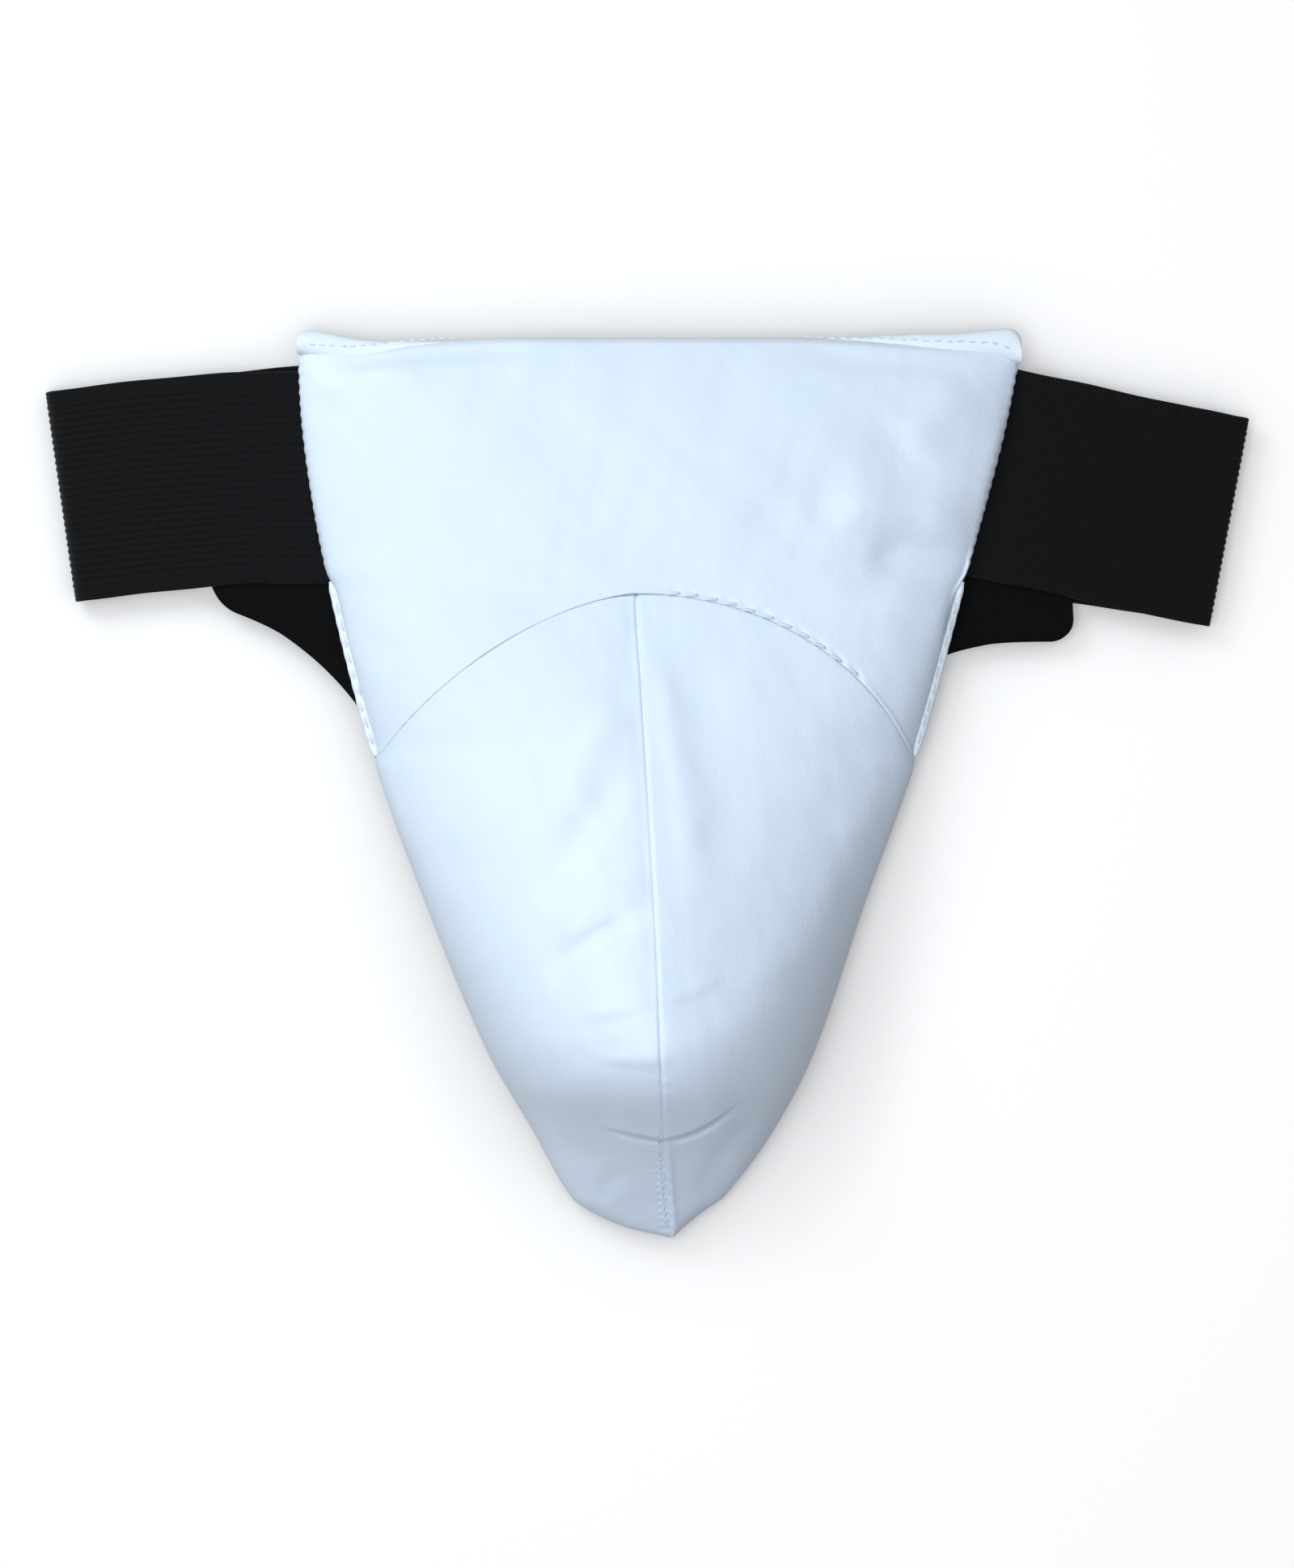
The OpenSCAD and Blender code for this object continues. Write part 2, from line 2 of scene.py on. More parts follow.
# # A groin protector, piece by piece
# The guard lies on its back: +X to the right wing, +Y to the waist, +Z out of the front. The
# packed construction is loaded first as a fixed frame. Every soft piece is then made again as a
# smooth surface, in metres, in the same place. The finished model has to stay inside it but for
# a few millimetres.

# %% Load the frame
import math
import bpy
import bmesh
import numpy as np
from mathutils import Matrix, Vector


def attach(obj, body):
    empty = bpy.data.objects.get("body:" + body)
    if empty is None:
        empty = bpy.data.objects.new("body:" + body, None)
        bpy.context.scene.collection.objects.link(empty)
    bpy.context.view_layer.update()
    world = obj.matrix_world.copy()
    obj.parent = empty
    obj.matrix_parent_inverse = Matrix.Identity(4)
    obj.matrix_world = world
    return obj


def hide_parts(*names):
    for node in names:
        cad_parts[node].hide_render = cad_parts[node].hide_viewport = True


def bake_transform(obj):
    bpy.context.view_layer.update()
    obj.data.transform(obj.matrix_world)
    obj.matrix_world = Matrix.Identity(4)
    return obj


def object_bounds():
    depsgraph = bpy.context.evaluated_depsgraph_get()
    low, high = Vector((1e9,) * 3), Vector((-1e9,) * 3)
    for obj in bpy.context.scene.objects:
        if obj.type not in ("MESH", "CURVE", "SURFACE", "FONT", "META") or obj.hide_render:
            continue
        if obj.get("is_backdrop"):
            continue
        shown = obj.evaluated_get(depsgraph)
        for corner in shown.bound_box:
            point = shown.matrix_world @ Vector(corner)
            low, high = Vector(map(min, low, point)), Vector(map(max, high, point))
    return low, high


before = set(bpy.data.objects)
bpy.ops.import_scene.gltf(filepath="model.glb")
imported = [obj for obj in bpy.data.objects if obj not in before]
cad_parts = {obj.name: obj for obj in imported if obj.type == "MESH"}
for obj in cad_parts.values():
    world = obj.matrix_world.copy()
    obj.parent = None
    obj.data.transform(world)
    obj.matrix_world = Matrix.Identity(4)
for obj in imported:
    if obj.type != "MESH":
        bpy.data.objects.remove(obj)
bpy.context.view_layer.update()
MM = 0.001
LEFT, RIGHT = -1, 1

# %% [markdown]
# ## Camera and light
# The guard is seen from straight above, as it lies, with the waist edge up. A long lens keeps the
# outline true. One wide soft lamp stands to the upper left, so that the right flank of the cup
# falls into shade, and an even sky fills the rest.

# %% Camera
scene = bpy.context.scene
VIEW_HEIGHT = 1.05  # from the lens to the height that the outline is measured at, metres
OUTLINE_Z = 0.006
FRAME_TALL = 0.451  # metres that the picture is tall
SENSOR = 36.0
camera_data = bpy.data.cameras.new("camera")
camera_data.sensor_width = SENSOR
camera_data.lens = SENSOR * VIEW_HEIGHT / FRAME_TALL
camera = bpy.data.objects.new("camera", camera_data)
camera.location = (0.0, 0.0, VIEW_HEIGHT + OUTLINE_Z)
scene.collection.objects.link(camera)
scene.camera = camera
scene.view_settings.view_transform = "Standard"
print("lens", round(camera_data.lens, 1))

# %% Colour and node helpers
def srgb(code):
    """Linear RGBA of an sRGB hex colour: the sRGB curve undone for each channel."""
    parts = [int(code[i:i + 2], 16) / 255 for i in (1, 3, 5)]
    return [c / 12.92 if c <= 0.04045 else ((c + 0.055) / 1.055) ** 2.4 for c in parts] + [1.0]


def add(material, kind, links=None, **settings):
    """Adds one node, sets its properties and input values, and links the sockets it reads."""
    node = material.node_tree.nodes.new(kind)
    for name, value in settings.items():
        if hasattr(node, name):
            setattr(node, name, value)
        else:
            node.inputs[name.replace("_", " ")].default_value = value
    for name, socket in (links or {}).items():
        material.node_tree.links.new(socket, node.inputs[name])
    return node


def new_material(name):
    """An empty node material and its output node."""
    material = bpy.data.materials.new(name)
    material.use_nodes = True
    material.node_tree.nodes.clear()
    return material, add(material, "ShaderNodeOutputMaterial")

# %% Lamps
def area_lamp(name, place, aim, size, watts, colour):
    """A square lamp at place that faces aim, both in metres."""
    data = bpy.data.lights.new(name, "AREA")
    data.size = size
    data.energy = watts
    data.color = srgb(colour)[:3]
    lamp = bpy.data.objects.new(name, data)
    lamp.location = place
    turn = np.array(aim) - np.array(place)
    lamp.rotation_mode = "QUATERNION"
    lamp.rotation_quaternion = Vector(turn).to_track_quat("-Z", "Y")
    scene.collection.objects.link(lamp)
    return lamp


area_lamp("key_lamp", (-0.5, 0.56, 0.6), (0.02, -0.01, 0.02), 0.38, 3.9, "#F0FBFF")
area_lamp("front_lamp", (-0.14, -0.04, 0.86), (0.0, 0.0, 0.02), 0.42, 4.3, "#F1F9FF")
print("lamps", [data.name for data in bpy.data.lights])

# %% Sky
world = bpy.data.worlds.new("sky")
world.use_nodes = True
world.node_tree.nodes.clear()
sky_path = add(world, "ShaderNodeLightPath")
sky_seen = add(world, "ShaderNodeMath", {0: sky_path.outputs["Is Camera Ray"],
               1: sky_path.outputs["Is Transmission Ray"]}, operation="MAXIMUM")
sky_light = add(world, "ShaderNodeBackground", Color=srgb("#F2EFFA"), Strength=0.25)
sky_shown = add(world, "ShaderNodeBackground", Color=srgb("#F4F5F7"), Strength=1.0)
sky_mix = add(world, "ShaderNodeMixShader", {0: sky_seen.outputs[0], 1: sky_light.outputs[0],
                                             2: sky_shown.outputs[0]})
add(world, "ShaderNodeOutputWorld", {"Surface": sky_mix.outputs[0]})
scene.world = world
print("sky nodes", len(world.node_tree.nodes))

# %% Floor
FLOOR_GLOW = 0.6  # share of the floor's own white, to the eye
FLOOR_WHITE = 1.13
# The floor's own glow is dimmed near the object by ambient occlusion: a painted soft shadow, with
# its darkest strength, open-sky share and reach below.
PAINTED_SHADOW_WHITE = 0.52 * FLOOR_WHITE
PAINTED_SHADOW_OPEN = 0.55  # share of open sky at which the floor is as dark as it gets
PAINTED_SHADOW_REACH = 0.035
FLOOR_HALF = 12.0


def floor_material():
    """White paper floor: mostly its own white to the eye, dimmed near the object by ambient
    occlusion into a painted shadow; the rest lit, and a pale grey as it lights the object, so the
    lit shadow stays soft and the undersides stay dark."""
    material, output = new_material("white_paper_floor")
    path = add(material, "ShaderNodeLightPath")
    seen = add(material, "ShaderNodeMath", {0: path.outputs["Is Camera Ray"],
               1: path.outputs["Is Glossy Ray"]}, operation="MAXIMUM")
    seen = add(material, "ShaderNodeMath", {0: seen.outputs[0],
               1: path.outputs["Is Transmission Ray"]}, operation="MAXIMUM")
    share = add(material, "ShaderNodeMath", {0: seen.outputs[0]}, operation="MULTIPLY")
    share.inputs[1].default_value = FLOOR_GLOW
    tone = add(material, "ShaderNodeMix", {0: seen.outputs[0]}, data_type="RGBA")
    tone.inputs[6].default_value = srgb("#A8A8A8")
    tone.inputs[7].default_value = srgb("#FBFBFB")
    lit = add(material, "ShaderNodeBsdfDiffuse", {"Color": tone.outputs[2]})
    # Painted shadow: ambient occlusion lowers the strength of the floor's glow near the object.
    open_sky = add(material, "ShaderNodeAmbientOcclusion", Distance=PAINTED_SHADOW_REACH, samples=8)
    white = add(material, "ShaderNodeMapRange", {0: open_sky.outputs["AO"]})
    white.inputs[1].default_value = PAINTED_SHADOW_OPEN
    white.inputs[3].default_value = PAINTED_SHADOW_WHITE
    white.inputs[4].default_value = FLOOR_WHITE
    own = add(material, "ShaderNodeEmission", {"Strength": white.outputs[0]}, Color=(1, 1, 1, 1))
    mix = add(material, "ShaderNodeMixShader",
              {0: share.outputs[0], 1: lit.outputs[0], 2: own.outputs[0]})
    material.node_tree.links.new(mix.outputs[0], output.inputs["Surface"])
    return material


floor_mesh = bpy.data.meshes.new("floor")
floor_mesh.from_pydata([(-FLOOR_HALF, -FLOOR_HALF, 0), (FLOOR_HALF, -FLOOR_HALF, 0),
                        (FLOOR_HALF, FLOOR_HALF, 0), (-FLOOR_HALF, FLOOR_HALF, 0)],
                       [], [(0, 1, 2, 3)])
floor = bpy.data.objects.new("floor", floor_mesh)
floor.location.z = -0.0004
floor_mesh.materials.append(floor_material())
scene.collection.objects.link(floor)
floor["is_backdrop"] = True
print(floor.name, 2 * FLOOR_HALF, "m wide")

# %% [markdown]
# ## The shell's shape
# The shell is one rule: an outline of left and right edges, a leaning centre seam, a crown height
# for each place along it, and a cross-section that is boxy over the flat pad and keel-like over
# the cup. All of it is written as whole-array formulas, so a surface is one call.

# %% Outline and heights
TIP_Y = -130.5
# Each list is [y, x] or [y, height] from the tip to the waist, in millimetres.
LEFT_EDGE = [[-130.5, 6.9], [-127.9, -5.3], [-123.3, -16], [-118.6, -22.1], [-100, -32.8],
             [-76.8, -46.1], [-34.9, -63.5], [7, -78.5], [62.8, -92.6], [100, -98.8],
             [130.5, -100.5]]
RIGHT_EDGE = [[-130.5, 7.5], [-127.9, 10.4], [-123.3, 16], [-118.6, 22.5], [-100, 36.3],
              [-76.8, 48.3], [-34.9, 62.5], [7, 77.4], [62.8, 92.6], [100, 102.5], [130.5, 108.5]]
CENTRE_LINE = [[-130.5, 7.2], [-100, 4.9], [-41.9, 2.6], [27.9, -1.4], [54, -3], [130.5, -3]]
NOSE_RISE = 53.5
YOKE_RISE = 10.5
CROWN_LINE = [[-130.5, 4], [-118, 13], [-106, 23], [-97, 33], [-85, NOSE_RISE * 0.9],
              [-72, NOSE_RISE], [-55, NOSE_RISE * 0.93], [-20, NOSE_RISE * 0.66],
              [20, NOSE_RISE * 0.37], [54, YOKE_RISE + 1], [90, YOKE_RISE],
              [110, YOKE_RISE - 0.8], [122, YOKE_RISE - 3], [130.5, 3.6]]
PANEL_T = 1.2
FACING_W = 1.7
ARCH_TOP_Y, ARCH_END_Y = 54.0, 7.5
SHELL_TOP_Y = 127.5
print("outline points", len(LEFT_EDGE), len(RIGHT_EDGE), "crown heights", len(CROWN_LINE))

# %% Curves
def smooth(t):
    """Share of the way from 0 to 1, with a gentle start and end."""
    c = np.clip(t, 0, 1)
    return c * c * (3 - 2 * c)


def curve(points, x):
    """Cubic through the points [x, value], with each slope taken from its two neighbours."""
    p = np.array(points, float)
    slopes = np.empty(len(p))
    slopes[1:-1] = (p[2:, 1] - p[:-2, 1]) / (p[2:, 0] - p[:-2, 0])
    slopes[0] = (p[1, 1] - p[0, 1]) / (p[1, 0] - p[0, 0])
    slopes[-1] = (p[-1, 1] - p[-2, 1]) / (p[-1, 0] - p[-2, 0])
    i = np.clip(np.searchsorted(p[:, 0], x, side="right") - 1, 0, len(p) - 2)
    h = p[i + 1, 0] - p[i, 0]
    t = np.clip((x - p[i, 0]) / h, 0, 1)
    return ((1 + 2 * t) * (1 - t) ** 2 * p[i, 1] + t * (1 - t) ** 2 * h * slopes[i]
            + t ** 2 * (3 - 2 * t) * p[i + 1, 1] - t ** 2 * (1 - t) * h * slopes[i + 1])


def panel_z(y):
    """Height of the back panel's underside: low at the tip and high under the waistband."""
    return 2.5 + 3.7 * smooth((y + 95) / 140)


def base_z(y):
    """Height of the plane that covers stand on."""
    return panel_z(y) + PANEL_T + 0.1


def half_width(side, y):
    """Distance from the centre seam to the edge on each point's own side."""
    edge = np.where(side < 0, curve(LEFT_EDGE, y), curve(RIGHT_EDGE, y))
    return side * (edge - curve(CENTRE_LINE, y))


def facing_show(y):
    """From 0 to 1 where the seam facing shows along the sides."""
    return smooth((y - 4) / 8) * smooth((62 - y) / 8)


def arch_y(side, a):
    """Arched seam at share a of the half width."""
    return ARCH_END_Y + (ARCH_TOP_Y - ARCH_END_Y) * (1 - a ** np.where(side < 0, 1.57, 2.1))


def cover_top_y(a):
    """Top edge of the front cover, which drops a little at both corners."""
    return SHELL_TOP_Y - 2 * smooth(a)


def cover_width(side, y):
    """Distance from the centre seam to the cover's edge, which stops short of a shown facing."""
    return np.maximum(0.2, half_width(side, y) - FACING_W * facing_show(y))


def shell_front(a, y):
    """Height of the front at share a of the width: a superellipse bow, boxier at the waist."""
    n = 1.8 + 1.1 * smooth(y / 60)
    bow = (1 - np.minimum(1, a) ** n) ** (1 / n)
    return base_z(y) + np.maximum(0.3, curve(CROWN_LINE, y)) * bow


def shell_point(side, a, y):
    """Point of the shell's front at share a of the width from the centre seam."""
    x = curve(CENTRE_LINE, y) + side * cover_width(side, y) * a
    return np.stack([x, y + 0 * x, shell_front(a, y)], -1)


probe = shell_point(np.array([LEFT, RIGHT]), 0.5, np.array([-50.0, 100.0]))
print("half way out", probe.round(1).tolist())

# %% Relief of creases and folds
def beside_line(x, y, start, end, bow, end_share):
    """Distance to the left of a line that bows sideways, and a fade over a share of both ends."""
    along = np.array(end, float) - np.array(start, float)
    length = np.hypot(*along)
    dx, dy = x - start[0], y - start[1]
    t = (dx * along[0] + dy * along[1]) / length ** 2
    off = (-dx * along[1] + dy * along[0]) / length - bow * 4 * t * (1 - t)
    return off, smooth(t / end_share) * smooth((1 - t) / end_share)


def fold(x, y, start, end, bow, depth, width):
    """A crease from start to end: a Gaussian valley or ridge across it, faded at its ends."""
    off, fade = beside_line(x, y, start, end, bow, 0.3)
    return depth * fade * np.exp(-(off / width) ** 2)


def ripple(x, y, pitch, seed):
    """Soft uneven swelling: three crossed sine waves of unlike pitch, from -1 to 1."""
    rng = np.random.default_rng(seed)
    total = 0
    for share in (0.5, 0.3, 0.2):
        turn, shift = rng.uniform(0, 2 * np.pi, 2)
        wave = (x * np.cos(turn) + y * np.sin(turn)) * 2 * np.pi / pitch + shift
        total = total + share * np.sin(wave + 1.3 * np.sin(wave * 0.37 + shift))
        pitch = pitch * 0.61
    return total

# %% Mesh helpers
def grid_faces(rows, cols, wrap_rows=False, wrap_cols=False):
    """Four-cornered faces of a grid of rows by cols points, joined round where it wraps."""
    i, j = np.meshgrid(np.arange(rows if wrap_rows else rows - 1),
                       np.arange(cols if wrap_cols else cols - 1), indexing="ij")
    down, along = (i + 1) % rows, (j + 1) % cols
    return np.stack([i * cols + j, i * cols + along, down * cols + along, down * cols + j],
                    -1).reshape(-1, 4)


def fan(pole, ring, next_ring):
    """Triangles from one pole point to each side of a ring of point numbers."""
    return np.stack([np.full(len(ring), pole), ring, next_ring], -1).tolist()


def make_piece(name, points, faces, material, body, cad, uv=None):
    """A smooth mesh from points in mm, riding on a body and standing for CAD nodes."""
    mesh = bpy.data.meshes.new(name)
    mesh.from_pydata((points.reshape(-1, 3) * MM).tolist(), [], [list(map(int, f)) for f in faces])
    mesh.polygons.foreach_set("use_smooth", np.ones(len(mesh.polygons), bool))
    if uv is not None:
        layer = mesh.uv_layers.new(name="cloth")
        corner = np.zeros(len(mesh.loops), int)
        mesh.loops.foreach_get("vertex_index", corner)
        layer.data.foreach_set("uv", (uv.reshape(-1, 2) * MM)[corner].ravel())
    mesh.update()
    piece = bpy.data.objects.new(name, mesh)
    scene.collection.objects.link(piece)
    mesh.materials.append(material)
    if body:
        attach(piece, body)
    if cad:
        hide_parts(*cad)
    return piece


def outward(piece):
    """Merges doubles and turns every face of a closed piece outward."""
    work = bmesh.new()
    work.from_mesh(piece.data)
    bmesh.ops.remove_doubles(work, verts=work.verts, dist=1e-7)
    bmesh.ops.recalc_face_normals(work, faces=work.faces)
    work.to_mesh(piece.data)
    work.free()


def thicken(piece, thickness):
    """Gives an open sheet its thickness, inward from the shown face."""
    wall = piece.modifiers.new("thickness", "SOLIDIFY")
    wall.thickness = thickness * MM
    wall.offset = -1
    wall.use_even_offset = False
    return wall

# %% [markdown]
# ## Materials
# Each finish is built from nodes at the size of the real thing: a scale is one over a distance in
# metres. Object coordinates hold patterns still in space; cloth that runs in a direction, such as
# the elastic, reads its own map, whose two axes are metres along and across the cloth.

# %% Coated leather cloth
def surface_nodes(name, base, shade, patch, roughness, links_bump, distance, **shader):
    """A principled surface: colour drifts between base and shade in patches, plus one bump whose
    height comes from links_bump and is distance deep."""
    material, output = new_material(name)
    where = add(material, "ShaderNodeTexCoord").outputs["Object"]
    drift = add(material, "ShaderNodeTexNoise", {"Vector": where},
                Scale=1 / patch, Detail=4.0, Roughness=0.55)
    colours = add(material, "ShaderNodeMix", {0: drift.outputs[0]}, data_type="RGBA")
    colours.inputs[6].default_value = srgb(base)
    colours.inputs[7].default_value = srgb(shade)
    height = links_bump(material, where)
    bump = add(material, "ShaderNodeBump", {"Height": height}, Strength=1.0, Distance=distance)
    rough = add(material, "ShaderNodeMapRange", {0: drift.outputs[0]})
    rough.inputs[3].default_value = roughness - 0.05
    rough.inputs[4].default_value = roughness + 0.05
    skin = add(material, "ShaderNodeBsdfPrincipled",
               {"Base Color": colours.outputs[2], "Normal": bump.outputs[0],
                "Roughness": rough.outputs[0]})
    for key, value in shader.items():
        skin.inputs[key.replace("_", " ")].default_value = value
    material.node_tree.links.new(skin.outputs[0], output.inputs["Surface"])
    return material


GRAIN = 0.0011
WRINKLE = 0.009


def leather_height(material, where):
    """Pebbled grain of about a millimetre over faint soft wrinkles of a centimetre."""
    grain = add(material, "ShaderNodeTexVoronoi", {"Vector": where},
                Scale=1 / GRAIN, Randomness=1.0)
    soft = add(material, "ShaderNodeTexNoise", {"Vector": where},
               Scale=1 / WRINKLE, Detail=3.0)
    small = add(material, "ShaderNodeMath", {0: grain.outputs["Distance"]}, operation="MULTIPLY")
    small.inputs[1].default_value = 0.12
    faint = add(material, "ShaderNodeMath", {0: soft.outputs[0]}, operation="MULTIPLY")
    faint.inputs[1].default_value = 0.4
    both = add(material, "ShaderNodeMath", {0: small.outputs[0], 1: faint.outputs[0]})
    return both.outputs[0]


# Polyurethane-coated cloth: the coat gives a soft satin light and a fine pebbled grain.
leather = surface_nodes("pu_leather_cloth_satin", "#E6F1FC", "#DDEBF9", 0.035, 0.5,
                        leather_height, 0.00035, IOR=1.48, Coat_Weight=0.06, Coat_Roughness=0.35)

# The same cloth's cut and turned edge, painted a little brighter than the cover: a painted
# highlight on the hem and facing rolls.
leather_edge_painted_highlight = surface_nodes("pu_leather_cloth_turned_edge_painted_highlight", "#F0F8FD", "#E4F1FA", 0.02, 0.55,
                             leather_height, 0.0003, IOR=1.48)
print(leather.name, leather_edge_painted_highlight.name)

# %% Woven elastic
def ribs(material, along_pitch, across_pitch, share):
    """Threads in two directions on the cloth's own map: sine waves along and across it."""
    cloth = add(material, "ShaderNodeUVMap", uv_map="cloth")
    total = None
    for pitch, axis, weight in ((along_pitch, "X", 1 - share), (across_pitch, "Y", share)):
        wave = add(material, "ShaderNodeTexWave", {"Vector": cloth.outputs[0]},
                   bands_direction=axis, Scale=0.314 / pitch, Distortion=0.6, Detail=2.0,
                   Detail_Scale=1.5)
        part = add(material, "ShaderNodeMath", {0: wave.outputs["Fac"]}, operation="MULTIPLY")
        part.inputs[1].default_value = weight
        if total is None:
            total = part
        else:
            total = add(material, "ShaderNodeMath", {0: total.outputs[0], 1: part.outputs[0]})
    return total.outputs[0]


# Ribbed elastic: rubber cores under polyester yarn, dull black with a grey sheen along the ribs.
elastic = surface_nodes("woven_elastic_ribbed", "#040608", "#07090C", 0.02, 0.7,
                        lambda m, w: ribs(m, 0.0008, 0.0005, 0.4), 0.00022,
                        Sheen_Weight=0.06, Sheen_Roughness=0.45, IOR=1.45,
                        Specular_IOR_Level=0.2)

# Leg strap elastic: finer and flatter yarn, so it looks smoother and blacker.
strap_cloth = surface_nodes("woven_elastic_smooth", "#020203", "#040405", 0.03, 0.75,
                            lambda m, w: ribs(m, 0.0007, 0.0007, 0.5), 0.0001,
                            Sheen_Weight=0.03, Sheen_Roughness=0.5, IOR=1.42,
                            Specular_IOR_Level=0.13)
print(elastic.name, strap_cloth.name)

# %% Lining and closure tapes
def knit_height(material, where):
    """Small round meshes of a warp-knitted lining, about two millimetres apart."""
    mesh = add(material, "ShaderNodeTexVoronoi", {"Vector": where},
               Scale=1 / 0.002, Randomness=0.15, feature="F1")
    yarn = add(material, "ShaderNodeTexNoise", {"Vector": where},
               Scale=1 / 0.0006, Detail=2.0)
    both = add(material, "ShaderNodeMath", {0: mesh.outputs["Distance"], 1: yarn.outputs[0]},
               operation="MULTIPLY")
    return both.outputs[0]


# Knitted polyester lining: matt, porous and soft against the skin.
lining = surface_nodes("knitted_polyester_lining", "#121316", "#1A1C1F", 0.012, 0.85,
                       knit_height, 0.0005, Sheen_Weight=0.15, Sheen_Roughness=0.6,
                       Specular_IOR_Level=0.3)


def dot_height(material, where):
    """Rows of stubby hooks, about a millimetre and a half apart."""
    dots = add(material, "ShaderNodeTexVoronoi", {"Vector": where},
               Scale=1 / 0.0015, Randomness=0.25, feature="F1")
    stub = add(material, "ShaderNodeMapRange", {0: dots.outputs["Distance"]})
    stub.inputs[3].default_value = 1.0
    stub.inputs[4].default_value = 0.0
    return stub.outputs[0]


def nap_height(material, where):
    """Tangled loops: fine noise over a coarser one."""
    nap = add(material, "ShaderNodeTexNoise", {"Vector": where},
              Scale=1 / 0.0012, Detail=8.0, Roughness=0.75)
    return nap.outputs[0]


# Moulded nylon hooks and brushed nylon loops of the closure.
hook_tape = surface_nodes("nylon_hook_tape", "#121315", "#1A1B1D", 0.006, 0.45, dot_height, 0.0006)
loop_tape = surface_nodes("nylon_loop_tape_brushed", "#17181B", "#222429", 0.006, 0.92,
                          nap_height, 0.0009, Sheen_Weight=0.5, Sheen_Roughness=0.7)
print(lining.name, hook_tape.name, loop_tape.name)

# %% Threads, foam and hard cup
def twist_height(material, where):
    """Plies of a spun thread, a third of a millimetre apart."""
    plies = add(material, "ShaderNodeTexNoise", {"Vector": where},
                Scale=1 / 0.00035, Detail=1.0)
    return plies.outputs[0]


# Spun polyester sewing thread, white on the cover and black on the straps.
white_thread = surface_nodes("polyester_thread_white", "#EDF3F8", "#D5DEE8", 0.004, 0.7,
                             twist_height, 0.0001)
black_thread = surface_nodes("polyester_thread_black", "#0B0C0D", "#17181A", 0.004, 0.65,
                             twist_height, 0.0001, Sheen_Weight=0.2)


def cell_height(material, where):
    """Closed cells of a moulded foam, under a millimetre across."""
    cells = add(material, "ShaderNodeTexVoronoi", {"Vector": where},
                Scale=1 / 0.0009, Randomness=1.0)
    return cells.outputs["Distance"]


# Closed-cell polyethylene foam and a moulded polypropylene cup, both inside the shell.
foam = surface_nodes("closed_cell_foam", "#DAD7CD", "#CFCBBF", 0.01, 0.9, cell_height, 0.0004)
cup_plastic = surface_nodes("moulded_polypropylene", "#E7E9EA", "#DEE1E3", 0.03, 0.4,
                            nap_height, 0.00003, IOR=1.49)

for node_name, finish in (("yoke_foam", foam), ("cup_foam", foam), ("hard_cup", cup_plastic)):
    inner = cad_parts[node_name].data
    inner.materials.clear()
    inner.materials.append(finish)
print("materials", len(bpy.data.materials))

# %% [markdown]
# ## Swelling under pressure
# The covers are sewn round their edges over foam that pushes out, so they crown in the middle and
# pucker at the seams. A cloth simulation gives that: a coarse sheet with held edges is cut a
# little too large and blown outward. What it moves is then laid over the exact grid.

# %% Cloth simulation of a held sheet
SWELL_FRAMES = 18
SWELL_PRESSURE = 5.0
SWELL_SPARE = 0.004  # share by which the cloth is cut too large
COVER_SHARE, YOKE_SHARE = 0.3, 0.28  # how much of the movement is used


def swell(points, held):
    """How far a sheet of points moves, in mm, when edges are held and pressure acts behind it."""
    mesh = bpy.data.meshes.new("swelling_sheet")
    mesh.from_pydata((points.reshape(-1, 3) * MM).tolist(), [],
                     grid_faces(*points.shape[:2]).tolist())
    sheet = bpy.data.objects.new("swelling_sheet", mesh)
    scene.collection.objects.link(sheet)
    seam = sheet.vertex_groups.new(name="seam")
    seam.add(np.flatnonzero(held.ravel()).tolist(), 1.0, "REPLACE")
    cloth = sheet.modifiers.new("cloth", "CLOTH")
    stuff = cloth.settings
    stuff.quality = 6
    stuff.mass = 0.25
    stuff.tension_stiffness = stuff.compression_stiffness = 18
    stuff.shear_stiffness = 8
    stuff.bending_stiffness = 2.5
    stuff.vertex_group_mass = "seam"
    stuff.use_pressure = True
    stuff.uniform_pressure_force = SWELL_PRESSURE
    stuff.shrink_min = -SWELL_SPARE
    stuff.effector_weights.gravity = 0
    cloth.collision_settings.use_collision = False
    cloth.point_cache.frame_end = SWELL_FRAMES
    for number in range(1, SWELL_FRAMES + 1):
        scene.frame_set(number)
    blown = sheet.evaluated_get(bpy.context.evaluated_depsgraph_get()).data
    ends = np.empty(len(blown.vertices) * 3, np.float32)
    blown.vertices.foreach_get("co", ends)
    bpy.data.objects.remove(sheet)
    bpy.data.meshes.remove(mesh)
    scene.frame_set(1)
    return ends.reshape(points.shape) / MM - points


def finer(field, rows, cols):
    """A coarse grid of values read at shares of its rows and of its columns, linearly between."""
    def weights(shares, count):
        """One row for each share, with the two nearest coarse values weighed by nearness."""
        place = np.clip(shares, 0, 1) * (count - 1)
        return np.maximum(0, 1 - np.abs(place[:, None] - np.arange(count)[None, :]))
    return weights(rows, field.shape[0]) @ field @ weights(cols, field.shape[1]).T


def swelling(sheet, share, rows, cols):
    """Part of the blown sheet's movement, softened over its neighbours, on the finer grid."""
    held = np.zeros(sheet.shape[:2], bool)
    held[[0, -1]] = True
    held[:, [0, -1]] = True
    move = swell(sheet, held)
    for _ in range(2):
        wide = np.pad(move, ((1, 1), (1, 1), (0, 0)), "edge")
        move = (4 * move + 2 * (wide[:-2, 1:-1] + wide[2:, 1:-1] + wide[1:-1, :-2]
                                + wide[1:-1, 2:])) / 12
        move[held] = 0
    return share * np.stack([finer(move[..., k], rows, cols) for k in range(3)], -1)


print("swelling", f"runs for {SWELL_FRAMES} frames")

